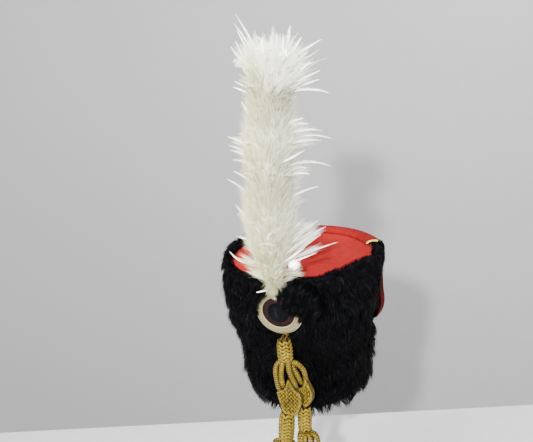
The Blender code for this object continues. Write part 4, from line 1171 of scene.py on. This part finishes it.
def makeFringe():
    # tips lie between the falling line and the roots beyond the rim, in clumps that lean each its own way
    dice = np.random.default_rng(21)
    count = int(fringe["hairs"] * (1.0))
    along, back = dice.uniform(0, 1, count), dice.uniform(0, 1, count) ** 0.9
    clump = np.floor(along * 11 + back * 2.5)
    lean = np.sin(clump * 2.4)
    wave = 0.07 * lean + 0.05 * np.sin(along * 61)
    at, routes = np.linspace(0, 1, 60), [smoothRoute(fringe[name], 60) for name in ("line", "from")]
    end, start = (np.stack(readOff(along, at, route), 1) for route in routes)
    direction = unit(end - start)
    crossing = np.stack([-direction[:, 1], direction[:, 0]], 1)
    span = np.linalg.norm(end - start, axis=1)
    reach = np.clip(dice.normal(0.50, 0.10, count), 0.30, 0.75)
    tipFlat = end + direction * (wave - back * span * 0.9)[:, None]
    tipFlat = tipFlat + crossing * (0.10 * np.sin(clump * 4.1))[:, None]
    rootFlat = tipFlat - direction * reach[:, None] + crossing * dice.normal(0.0, 0.10, count)[:, None]
    far = np.linalg.norm(rootFlat, axis=1)

    def onDisc(flat, height):
        side, up = flat[:, :1] * cockade["radius"], flat[:, 1:] * cockade["radius"]
        return cockadeMiddle + side * cockadeSide + up * cockadeUp + height[:, None] * cockadeOut

    root = onDisc(rootFlat, np.where(far > 1.06, 0.0012, 0.0045))
    tipFlat = tipFlat + dice.normal(0, 0.025, (count, 2))
    tip = onDisc(tipFlat, 0.0048 + 0.0030 * dice.uniform(0, 1, count) + 0.003 * back)
    root[:, 1] += np.maximum(0.0, np.abs(root[:, 0]) - 0.02) * 0.30
    tip[:, 1] += np.maximum(0.0, np.abs(tip[:, 0]) - 0.03) * 0.25
    bow = cockadeOut * (0.0040 * dice.uniform(0.5, 1.3, count))[:, None]
    tone = np.clip(0.24 + 0.14 * lean + dice.normal(0, 0.17, count), 0, 0.8)
    # painted glints: about one hair in twenty gets a light tone as a highlight
    tone = np.where(dice.uniform(0, 1, count) < 0.05, 0.92, tone)
    shape = Shape()
    addSpikes(shape, root, tip, bow, fringe["width"], tone, taper=(1.0, 0.85))
    # a thin haze of short hairs lies inward over the ring's upper outer edge
    count = fringe["haze"]
    turn = np.radians(dice.uniform(*fringe["hazeAngles"], count))
    way = np.stack([np.cos(turn), np.sin(turn)], 1)
    reach = dice.uniform(*fringe["hazeTip"], count)
    tipFlat = way * reach[:, None] + dice.normal(0, 0.03, (count, 2))
    root = onDisc(way * fringe["hazeRoot"], np.full(count, 0.0022))
    tip = onDisc(tipFlat, 0.0050 + 0.0012 * dice.uniform(0, 1, count))
    bow = cockadeOut * (0.0022 * dice.uniform(0.5, 1.3, count))[:, None]
    tone = np.clip(dice.normal(0.22, 0.14, count), 0, 0.8)
    addSpikes(shape, root, tip, bow, fringe["hazeWidth"], tone, taper=(1.0, 0.85))
    shape.make("furOverCockade", furHair, (), "black_fur")


makeFringe()
print("fur made")

# Plume: centre line from the cockade's middle, and its mass: share of the length, radius in mm, whiteness,
# which is partly the feathers' own colour and partly painted shade, low at the foot and at the waists between
# the tiers
plume = {"line": [(-0.0020, 0.0014, 0.0156), (-0.0020, -0.0019, 0.0386), (-0.0016, -0.0054, 0.0516),
                  (-0.0010, -0.0095, 0.0676), (-0.0012, -0.0110, 0.0916), (0.0000, -0.0095, 0.1396),
                  (0.0010, -0.0070, 0.1846), (0.0030, -0.0040, 0.2346), (0.0075, -0.0005, 0.2846),
                  (0.0100, 0.0025, 0.3346), (0.0155, 0.0055, 0.3796), (0.0180, 0.0070, 0.4196)],
         "mass": [(0.00, 5, 0.0), (0.03, 8, 0.0), (0.06, 11, 0.0), (0.105, 15, 0.05), (0.145, 22, 0.12),
                  (0.19, 30, 0.22), (0.245, 36, 0.3), (0.305, 40, 0.38), (0.36, 41, 0.42), (0.415, 36, 0.2),
                  (0.47, 31, 0.05), (0.525, 37, 0.22), (0.56, 41, 0.45), (0.612, 41, 0.6), (0.64, 41, 0.5),
                  (0.697, 35, 0.3), (0.725, 28, 0.1), (0.752, 28, 0.0), (0.78, 31, 0.05), (0.835, 38, 0.25),
                  (0.888, 43, 0.8), (0.917, 43, 1.0), (0.943, 36, 1.0), (0.97, 18, 1.0), (1.0, 6, 1.0)],
         "tiers": [0.19, 0.27, 0.36, 0.53, 0.63, 0.82, 0.90],
         "length": 0.405, "back": 0.0085, "clear": 0.030, "floor": 0.0215, "lowShare": 0.26,
         "hollows": [(277, 288, 15, 0.40), (289, 272, 10, 0.20), (284, 98, 11, 0.80), (259, 78, 10, 0.35),
                     (262, 108, 13, 0.30), (284, 147, 9, 0.40), (281, 187, 11, 0.45), (262, 184, 9, 0.20),
                     (271, 252, 16, 0.25), (272, 284, 13, 0.35)]}
plumeLine = cockadeMiddle + smoothRoute(plume["line"], 200)
plumeAxes = carried(plumeLine)
plumeMass = np.array(plume["mass"]) * (1, 0.001, 1)


def alongPlume(share, angle):
    # place and direction at a share of the plume's length, and the direction out from there at an angle
    last = len(plumeLine) - 1
    at = np.clip(share, 0, 1) * last
    k = np.clip(at.astype(int), 0, last - 1)
    f = (at - k)[..., None]
    place, along, side, other = (v[k] * (1 - f) + v[k + 1] * f for v in (plumeLine, *plumeAxes))
    return place, along, spoke(angle, side, other)


def massAt(share, column=1):
    # radius, or whiteness as column 2, at a share of the plume's length
    return np.interp(share, plumeMass[:, 0], plumeMass[:, column])


def plumeDepth(y):
    # the plume's own depth Y at a picture row, between its top and its foot
    return np.interp(y, (50, 290), (plumeLine[-1, 1], plumeLine[20, 1]))


def beforeFur(points):
    # keeps the plume's foot in front of the fur's parting and above the cockade
    points = np.array(points)
    side = np.maximum(0.0, np.abs(points[..., 0]) - 0.6 * plume["back"])
    above = np.maximum(0.0, points[..., 2] - body["height"] - plume["clear"])
    limit = 1.5 * above - (body["topRadius"] + plume["back"] + 0.4 * side)
    points[..., 1] = np.minimum(points[..., 1], limit)
    return points


def keepFoot(low, *ends):
    # the same for the hairs' ends that lie low, in place
    for points in ends:
        points[low] = beforeFur(points[low])


def featherFinish(name, white=0.0):
    # cream in the depth, which is painted shade given by a low tone and by the darker roots, and on the
    # wearer's right; cooler white at the tips and on the left; a feather lets light through, which a painted
    # glow stands for, brightest where the feather is whitest
    feather = Finish(name, Roughness=0.9, Specular_IOR_Level=0.12, Emission_Strength=1.3)
    amount = (feather.mark("tone") * 0.65 + feather.mark("reach") * 0.35 + white).clipped()
    warm = feather.ramp(amount, (0.0, (0.33, 0.31, 0.15)), (0.25, (0.53, 0.52, 0.29)),
                        (0.6, (0.78, 0.78, 0.50)), (1.0, (0.98, 0.98, 0.88)))
    cool = feather.ramp(amount, (0.0, (0.33, 0.32, 0.21)), (0.25, (0.52, 0.52, 0.38)),
                        (0.6, (0.77, 0.77, 0.66)), (1.0, (0.97, 0.97, 0.95)))
    # painted glow: emission that makes the feathers shine, most where they are whitest
    glow = feather.ramp(amount, (0.0, (0.03, 0.03, 0.02)), (0.5, (0.16, 0.16, 0.11)),
                        (0.8, (0.52, 0.52, 0.45)), (1.0, (2.0, 2.0, 1.9)))
    across = feather.node("ShaderNodeSeparateXYZ", {}, {0: feather.place()}, 0)
    feather.colour(feather.blend((across * 22.0 + 0.2).clipped(), warm, cool))
    feather.put(feather.shader.inputs["Emission Color"], glow)
    return feather


plumeDown = featherFinish("plumeDown")
plumeQuill = featherFinish("plumeQuill", 0.25)


def makePlumeCore():
    # a lumpy mass round the stem: its radius is most of the plume's, roughened by waves
    rows, sides = 130, 48
    share = np.linspace(0.02, 0.945, rows)
    s, a = share[:, None], turns(sides)
    place, along, outward = alongPlume(s, a)
    lump = 1 + (0.06 * np.sin(a * 5 + s * 60) + 0.05 * np.sin(a * 9 - s * 95) + 0.05 * np.sin(a * 3 + s * 33))
    points = place + (massAt(s) * 0.72 * lump)[..., None] * outward
    keepFoot(share < plume["lowShare"], points)
    points = np.vstack([points.reshape(-1, 3), place[0], place[-1] + along[-1] * 0.002])
    heart = Finish("plumeHeart", Roughness=0.95, Specular_IOR_Level=0.1)
    streak = heart.noise(heart.place((1, 1, 0.25)), 260.0, 4.0, 0.7)
    cloud = heart.noise(heart.place(), 34.0, 2.0)
    amount = (streak * 0.6 + cloud * 0.5 - 0.05).clipped()
    heart.colour(heart.ramp(amount, (0.2, (0.36, 0.34, 0.18)), (0.5, (0.50, 0.49, 0.28)),
                            (0.85, (0.66, 0.66, 0.44))))
    heart.relief(streak, 0.8, 0.0015)
    shape = Shape()
    shape.add(points, gridFaces(rows, sides), ends(rows, sides))
    shape.make("plumeHeart", heart, ["plume"], "white_feather")


makePlumeCore()


def addFeathers(blades, root, tip, bow, width, tone, face, count, spread, sweep, dice):
    # a feather is a thin tapered shaft with barbs on both sides; returns the barbs' roots, tips and tones
    number = len(root)
    addSpikes(blades, root, tip, bow, width, tone, (0.0, 0.35, 0.7), (1.0, 0.82, 0.55), face, 0.5, 4)
    t = (np.arange(count)[None] + dice.uniform(0, 1, (number, count)))[..., None] / count * 0.90 + 0.03
    base = root[:, None] + (tip - root)[:, None] * t + bow[:, None] * 4 * t * (1 - t)
    forward = unit((tip - root)[:, None] + bow[:, None] * 4 * (1 - 2 * t))
    face = np.broadcast_to(face, root.shape)[:, None]
    hand = np.where(np.arange(count) % 2, 1, -1)[None, :, None]
    sideways = unit(np.cross(forward, face)) * hand * np.asarray(sweep).reshape(-1, 1, 1)
    size = spread[:, None, None] * (1 - t) ** 0.8 * (0.45 + 0.55 * smoothstep(t, 0, 0.3))
    size = size * dice.uniform(0.7, 1.2, (number, count, 1))
    end = base + (forward + sideways + unit(face) * dice.normal(0, 0.12, (number, count, 1))) * size
    shade = np.clip(np.repeat(tone, count) + dice.normal(0, 0.07, number * count), 0, 1)
    return base.reshape(-1, 3), end.reshape(-1, 3), (sideways * size * 0.15).reshape(-1, 3), shade


hackle = {"feathers": 560, "barbs": 52, "fluff": 27500, "flares": 120, "length": (0.036, 0.060),
          "spread": 0.022, "top": 0.925, "crest": 190, "crestLength": (0.044, 0.066), "crestAngle": 66,
          "barbWidth": 0.00032, "fluffWidth": 0.00026, "fluffLength": (0.014, 0.034), "lowBarbs": 0.30}
longFeather = {"barbs": 46, "barbWidth": 0.00021, "low": 0.27}


def paintedHollowShade(tip):
    # painted shade where the photo's plume is thin and its depth shows: pixel, radius in mm, strength
    shade = np.zeros(len(tip))
    for x, y, size, deep in plume["hollows"]:
        off = (tip - inPhoto(x, y, plumeDepth(y) - 0.030)) * (1, 0.4, 1)
        shade += deep * np.exp(-(np.linalg.norm(off, axis=1) / size * 1000) ** 2)
    return shade


def makeHackles(dice, less):
    # hackles grow up and outward from the stem, and flares stand out at the tiers
    count, flares, crest = (int(hackle[name] * less) for name in ("feathers", "flares", "crest"))
    total = count + flares + crest
    flare = (np.arange(total) >= count) & (np.arange(total) < count + flares)
    top = np.arange(total) >= count + flares
    share = 0.09 + 0.76 * dice.uniform(0, 1, total)
    tier = np.array(plume["tiers"])[dice.integers(0, len(plume["tiers"]), total)]
    share = np.where(flare, tier - 0.06 + dice.normal(0, 0.014, total), share)
    angle = dice.uniform(0, 2 * np.pi, total)
    place, along, outward = alongPlume(share, angle)
    length = dice.uniform(*hackle["length"], total) * (0.55 + 0.45 * smoothstep(share, 0.08, 0.3))
    rise = np.where(flare, 0.55, 0.80) * length / plume["length"]
    tipShare = np.minimum(share + rise, hackle["top"] + 0.03 * dice.uniform(-1, 1, total))
    wide = dice.uniform(1.08, 1.42, total)
    reachOut = massAt(tipShare) * np.where(flare, wide, np.clip(dice.normal(0.98, 0.12, total), 0.6, 1.25))
    tipPlace, _, tipOut = alongPlume(tipShare, angle)
    root = place + outward * (massAt(share) * 0.45)[:, None]
    tip = tipPlace + tipOut * reachOut[:, None]
    tip += np.cross(along, outward) * dice.normal(0, 0.006, total)[:, None]
    # the top's feathers spread like a fan from one place
    topPlace, topAlong, topOut = alongPlume(dice.uniform(0.78, 0.87, total), angle)
    lean = np.radians(hackle["crestAngle"]) * dice.uniform(0, 1, total) ** 0.6
    lean *= 1 - 0.42 * smoothstep(-(topOut @ cameraAxes()[0]), 0.1, 0.8)
    length = np.where(top, dice.uniform(*hackle["crestLength"], total) * (1 + 0.12 * lean), length)
    root = np.where(top[:, None], topPlace + topOut * dice.uniform(0.002, 0.014, total)[:, None], root)
    tip = np.where(top[:, None], root + spoke(lean, topAlong, topOut) * length[:, None], tip)
    bow = along * ((0.10 + 0.06 * flare) * (1 - 0.9 * top) * length)[:, None]
    keepFoot((share < plume["lowShare"]) & ~top, root, tip)
    whiteness = np.where(top, 0.95, massAt(tipShare, 2) * 0.75) + 0.15 * flare
    tone = np.clip(whiteness + dice.normal(0.06, 0.12, total) - paintedHollowShade(tip) * (1 - 0.7 * top), 0, 1)
    width, spread = dice.uniform(0.0003, 0.0006, total), hackle["spread"] * dice.uniform(0.75, 1.2, total)
    blades, barbs = Shape(), Shape()
    base, end, bend, shade = addFeathers(blades, root, tip, bow, width, tone, outward, hackle["barbs"],
                                         spread, 0.40, dice)
    keepFoot(base[:, 2] < hackle["lowBarbs"], base, end)
    addSpikes(barbs, base, end, bend, hackle["barbWidth"], shade, (0.0,), (1.0,))
    blades.make("plumeBlades", plumeQuill, (), "white_feather")
    barbs.make("plumeBarbs", plumeDown, (), "white_feather")


def makeFluff(dice, less):
    # fine down fills the mass; at the foot it hangs
    count = int(hackle["fluff"] * less)
    share = 0.018 + 0.897 * dice.uniform(0, 1, count) ** 0.95
    angle = dice.uniform(0, 2 * np.pi, count)
    place, along, outward = alongPlume(share, angle)
    radius = massAt(share)
    root = place + outward * (radius * dice.uniform(0.66, 0.80, count))[:, None]
    length = dice.uniform(*hackle["fluffLength"], count) * (0.35 + 0.65 * smoothstep(radius, 0.006, 0.030))
    lean = np.clip(dice.normal(0.42, 0.16, count), 0.08, 1.1)
    foot = 1 - smoothstep(share, 0.05, 0.16)
    climb = np.cos(lean) * (1 - 1.7 * foot * dice.uniform(0.3, 1.0, count))
    run = outward * np.sin(lean)[:, None] + along * climb[:, None]
    tip = root + (run + np.cross(along, outward) * dice.normal(0, 0.16, count)[:, None]) * length[:, None]
    keepFoot(share < plume["lowShare"], root, tip)
    floor = cockadeMiddle[2] + plume["floor"] + dice.uniform(0, 0.004, count)
    tip[:, 2] = np.maximum(tip[:, 2], floor)
    tone = np.clip(massAt(share, 2) * 0.75 + dice.normal(0.02, 0.14, count) - paintedHollowShade(tip), 0, 1)
    bow = np.zeros_like(root)
    makeSpikes("plumeFluff", plumeDown, "white_feather", root, tip, bow, hackle["fluffWidth"], tone, (0.0,),
               (1.0,))


plumeDice, plumeLess = np.random.default_rng(31), 1.0
makeHackles(plumeDice, plumeLess)
makeFluff(plumeDice, plumeLess)

# Feathers that stand out of the mass: root pixel, tip pixel, half width in mm, upward bend in mm, mm towards
# the front
longFeathers = [
    (256, 50, 234, 12, 1.6, 1, 0), (251, 49, 233, 22, 1.3, 1, 0), (248, 52, 236, 28, 1.0, 0, 4),
    (271, 52, 254.5, 35, 2.2, 2, 10), (250, 66, 230, 45, 1.2, -3, 0), (244, 60, 235, 40, 0.9, 0, 0),
    (277, 54, 277, 32, 1.3, 0, 8), (283, 54, 283, 33, 1.3, 1, 6), (286, 52, 290.5, 24, 2.4, 0, -5),
    (290, 56, 302, 36, 1.5, 0, 0), (294, 57, 323, 38.5, 1.8, 1, 0), (296, 62, 308, 52, 1.1, 1, 0),
    (298, 74, 312, 62, 1.2, 1.5, 0), (297, 82, 321, 70, 1.4, 0.5, 0), (296, 88, 321, 79, 1.6, 1, 0),
    (294, 91, 331, 93.5, 2.0, 4, 0), (247, 93, 232, 87, 1.0, 1, 0), (248, 88, 234, 81, 0.8, 0, 0),
    (262, 52, 262, 37, 1.1, 0, 10), (268, 52, 272, 34, 1.3, 0, 5), (250, 116, 241, 101, 1.2, 0, 0),
    (284, 126, 304, 118, 1.5, 1.5, 6), (284, 128, 310, 124, 1.8, 3, 3), (288, 134, 324, 131, 1.6, 4, 0),
    (288, 140, 334, 139.5, 1.9, 7, 0), (290, 145, 323, 141, 1.3, 4, 4), (252, 150, 226, 136.5, 1.8, 3, 0),
    (252, 156, 227, 145, 1.4, 2, 3), (250, 158, 229, 150, 1.1, 1.5, 0), (250, 165, 232, 160, 1.1, 2, 0),
    (280, 163, 306, 149, 1.5, -1, 25), (288, 166, 333, 167, 2.1, 7, 0), (286, 172, 308, 168, 1.4, 3, 6),
    (288, 176, 311, 174.5, 1.4, 3, 0), (249, 181, 233, 171, 1.1, 1.5, 0), (251, 197, 225, 178, 1.1, 3, 0),
    (292, 197, 320, 186, 1.2, 2, 0), (250, 225, 235, 204, 1.6, 1, 0), (258, 250, 239, 235, 1.3, 2, 8),
    (256, 245, 236, 236.5, 0.9, 2, 0), (248, 264, 229, 251, 1.1, -3, 6), (266, 271, 236, 257, 0.6, 1, 10),
    (268, 281, 246, 271, 0.5, 0, 12), (290, 252, 328, 225, 2.0, 2, -2), (288, 247, 320, 219, 1.6, 2, 0),
    (288, 242, 314, 222, 1.4, 1, 4), (292, 256, 323, 233, 1.5, 1, 2), (288, 260, 339.5, 241.5, 2.0, 1, 8),
    (288, 264, 318, 252, 1.3, 0, 10), (268, 290, 256, 292.5, 0.9, 0, 14),
    (258, 245.5, 275, 246, 0.7, 3, 36), (263, 237, 253.5, 226, 1.9, 1.5, 34),
    (265, 234, 259, 225, 1.4, 1, 33), (267, 241, 271, 233, 1.2, 1, 38), (286, 254, 311, 236, 1.4, 1, 14),
    (284, 262, 305, 248, 1.3, 0, 16), (262, 258, 246, 243, 1.3, 1, 12),
]


def makeLongFeathers():
    # each is placed through the camera at the plume's own depth, and its root is inside the mass
    dice = np.random.default_rng(41)
    fromX, fromY, toX, toY, wide, bend, forward = np.array(longFeathers, float).T
    depth = plumeDepth(fromY) - forward / 1000
    # above the crown the tips stand to the front and to the back by turns
    sway = np.where((np.abs(forward) < 12) & (fromY < 235), np.sin(np.arange(len(depth)) * 2.4), 0.0)
    root, tip = inPhoto(fromX, fromY, depth + 0.008 * sway), inPhoto(toX, toY, depth + 0.024 * sway)
    run = unit(tip - root)
    bow = unit(skyward - run * run[:, 2:]) * (bend / 1000)[:, None]
    keepFoot(root[:, 2] < longFeather["low"], root, tip)
    tone = dice.uniform(0.75, 1.0, len(root))
    wide = wide / 1000
    size = 0.007 + 3.0 * wide
    front = -cameraAxes()[2]
    shape = Shape()
    base, end, bend, shade = addFeathers(shape, root, tip, bow, 0.00035 + 0.07 * wide, tone, front,
                                         longFeather["barbs"], size, 1.55 * wide / size, dice)
    addSpikes(shape, base, end, bend, longFeather["barbWidth"], shade, taper=(1.0, 0.75))
    shape.make("plumeLongFeathers", plumeQuill, (), "white_feather")


makeLongFeathers()

# Fans of loose barbs: root pixel, the two ends of the line where they stop, hairs, mm towards the front,
# whiteness
plumeFans = [
    (264, 86, 229, 46, 247, 34, 170, 0, 0.90), (268, 84, 246, 38, 268, 34, 170, 4, 1.0),
    (272, 84, 266, 36, 290, 34, 150, 4, 0.95), (276, 86, 288, 32, 306, 54, 150, 0, 0.85),
    (278, 92, 306, 52, 314, 78, 110, 0, 0.75), (278, 104, 300, 92, 302, 116, 60, 0, 0.35),
    (262, 118, 239, 82, 241, 110, 110, 0, 0.45), (278, 142, 300, 113, 320, 128, 110, 2, 0.60),
    (280, 148, 318, 127, 322, 146, 90, 0, 0.55), (264, 168, 229, 136, 236, 160, 100, 0, 0.65),
    (278, 184, 306, 160, 318, 169, 70, 0, 0.50), (278, 192, 308, 168, 306, 188, 60, 0, 0.45),
    (260, 208, 232, 178, 240, 204, 90, 0, 0.50), (280, 214, 300, 186, 310, 200, 60, 0, 0.40),
    (262, 240, 237, 206, 241, 232, 90, 0, 0.50), (284, 240, 304, 216, 326, 223, 90, 8, 0.60),
    (286, 250, 320, 222, 327, 230, 90, 8, 0.65), (286, 254, 326, 229, 314, 240, 70, 10, 0.55),
    (290, 260, 322, 242, 329, 247, 40, 12, 0.60), (268, 258, 242, 234, 240, 248, 90, 14, 0.45),
    (270, 272, 236, 250, 241, 262, 130, 14, 0.50), (271, 280, 242, 264, 248, 274, 90, 16, 0.45),
    (282, 274, 302, 262, 308, 276, 80, 14, 0.45), (280, 281, 300, 273, 294, 281, 30, 16, 0.40),
    (275, 287, 280, 297, 267, 298, 60, 18, 0.0), (274, 284, 260, 289, 266, 297, 45, 18, 0.05),
    (277, 278, 289, 286, 281, 295, 40, 18, 0.05),
]
fanWidth = 0.00018


def makePlumeFans():
    # straight fine hairs from about one place to a line across the picture, some of them short of it
    dice = np.random.default_rng(61)
    table = np.array(plumeFans, float)
    row = table[np.repeat(np.arange(len(table)), table[:, 6].astype(int))]
    count = len(row)
    start = row[:, :2] + dice.normal(0, 2.2, (count, 2))
    stop = row[:, 2:4] + (row[:, 4:6] - row[:, 2:4]) * dice.uniform(0, 1, (count, 1))
    stop += dice.normal(0, 0.8, (count, 2))
    start += (stop - start) * dice.uniform(0, 0.45, (count, 1))
    stop = start + (stop - start) * dice.uniform(0.65, 1.03, (count, 1))
    depth = plumeDepth(row[:, 1]) - row[:, 7] / 1000
    deep = dice.normal(0, 0.005, count)
    root, tip = inPhoto(*start.T, depth + deep), inPhoto(*stop.T, depth + deep * 2)
    keepFoot(root[:, 2] < longFeather["low"], root, tip)
    bow = dice.normal(0, 0.0006, (count, 3)) + skyward * 0.0010
    tone = np.clip(row[:, 8] + dice.normal(0, 0.12, count), 0, 1)
    makeSpikes("plumeFans", plumeDown, "white_feather", root, tip, bow, fanWidth, tone, (0.0, 0.5),
               (1.0, 0.8))


makePlumeFans()

# White tufts of down: pixel, radius in mm, hairs, mm towards the front
downTufts = [(294, 264.5, 9.5, 520, 14), (262, 50, 11.0, 70, 24), (284, 54, 12.0, 70, 24)]


def makeDownTufts():
    # hairs point all round from the middle of each tuft
    dice = np.random.default_rng(51)
    shape = Shape()
    for x, y, size, count, forward in downTufts:
        middle = inPhoto(x, y, plumeDepth(y) - forward / 1000)
        ray = unit(dice.normal(0, 1, (count, 3)))
        root = middle + ray * size / 1000 * 0.15
        tip = middle + ray * (0.95, 0.95, 0.8) * (size / 1000 * dice.uniform(0.35, 1.30, (count, 1)))
        bow, tone = dice.normal(0, 0.0008, (count, 3)), dice.uniform(0.85, 1.0, count)
        addSpikes(shape, root, tip, bow, 0.00042, tone, taper=(1.0, 0.9))
    shape.make("plumeTufts", plumeQuill, (), "white_feather")


makeDownTufts()
print("plume made")

# Stage: a pale table, a far wall, and soft light
stage = {"table": -0.27, "near": -1.9, "edge": 0.299, "half": 2.2, "thick": 0.03, "facing": 18.6,
         "wall": 1.9, "wallThick": 0.05, "wallHalf": 6.0, "wallLow": -2.0, "wallHigh": 4.0}


def stageFinish(name, rough, scale, detail, weights, *stops):
    # a faint speck, and painted light that grows from left to right
    paint = Finish(name, Roughness=rough)
    speck = paint.noise(paint.place(), scale, detail)
    slope = paint.node("ShaderNodeSeparateXYZ", {}, {0: paint.place()}, 0)
    paint.colour(paint.ramp((speck * weights[0] + slope * weights[1] + weights[2]).clipped(), *stops))
    return paint


def makeStage():
    # the table and the wall are blocks square to a direction a little to the left of straight ahead
    facing = np.radians(stage["facing"])
    away, along = np.array([-np.sin(facing), np.cos(facing)]), np.array([np.cos(facing), np.sin(facing)])
    tableTop = stageFinish("tableTop", 0.75, 30.0, 4.0, (0.4, 0.45, 0.35), (0.2, (0.60, 0.598, 0.596)),
                           (0.8, (0.76, 0.758, 0.762)))
    wallPaint = stageFinish("wallPaint", 0.9, 18.0, 3.0, (0.25, 0.35, 0.55), (0.2, (0.455, 0.452, 0.453)),
                            (0.85, (0.545, 0.542, 0.546)))

    def slab(name, half, near, far, low, high, finish):
        corners = ((-half, near), (half, near), (half, far), (-half, far))
        flat = [along * side + away * depth for side, depth in corners]
        points = np.vstack([np.c_[flat, np.full(4, low)], np.c_[flat, np.full(4, high)]])
        faces = [[3, 2, 1, 0], [4, 5, 6, 7], [0, 1, 5, 4], [1, 2, 6, 5], [2, 3, 7, 6], [3, 0, 4, 7]]
        mesh = bpy.data.meshes.new(name)
        mesh.from_pydata(points.tolist(), [], faces)
        mesh.materials.append(finish.material)
        made = bpy.data.objects.new(name, mesh)
        bpy.context.scene.collection.objects.link(made)

    top = stage["table"]
    slab("table", stage["half"], stage["near"], stage["edge"], top - stage["thick"], top, tableTop)
    slab("wall", stage["wallHalf"], stage["wall"], stage["wall"] + stage["wallThick"], stage["wallLow"],
         stage["wallHigh"], wallPaint)


def addLight(name, place, target, size, power, colour=(1, 1, 1)):
    # a round area light that faces its target
    data = bpy.data.lights.new(name, "AREA")
    data.shape = "DISK"
    data.size = size
    data.energy = power
    data.color = colour
    lamp = bpy.data.objects.new(name, data)
    bpy.context.scene.collection.objects.link(lamp)
    back = unit(np.array(place, float) - np.array(target, float))
    side = unit(np.cross(skyward, back))
    setAxes(lamp, side, np.cross(back, side), back, place)


makeStage()
addLight("key", (-0.62, -0.82, 1.68), (0.0, -0.05, 0.32), 1.1, 38.0, (1.0, 0.99, 0.97))
addLight("fill", (1.5, -1.1, 0.7), (0.0, 0.0, 0.2), 1.4, 14.0, (0.97, 0.98, 1.0))
addLight("lamp", (0.30, -1.70, 1.04), (0.0, 0.3, 0.20), 0.08, 108.0)
addLight("wallWash", (0.90, 1.00, 1.42), (0.45, 2.00, 0.88), 0.6, 14.0)
world = bpy.data.worlds.new("room")
bpy.context.scene.world = world
world.use_nodes = True
skyColour, skyPower = world.node_tree.nodes["Background"].inputs[:2]
skyColour.default_value = (0.99, 0.99, 1.0, 1.0)
skyPower.default_value = 0.86

# The stiff body shows inside the hollow
felt = Finish("stiffFelt", Roughness=0.9, Sheen_Weight=0.2)
nap = felt.noise(felt.place(), 260.0, 4.0)
felt.colour(felt.ramp(nap, (0.25, (0.012, 0.011, 0.011)), (0.75, (0.035, 0.032, 0.031))))
felt.relief(nap, 0.4, 0.0006)
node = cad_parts["cap_body"]
node.data.materials.clear()
node.data.materials.append(felt.material)

print("done")
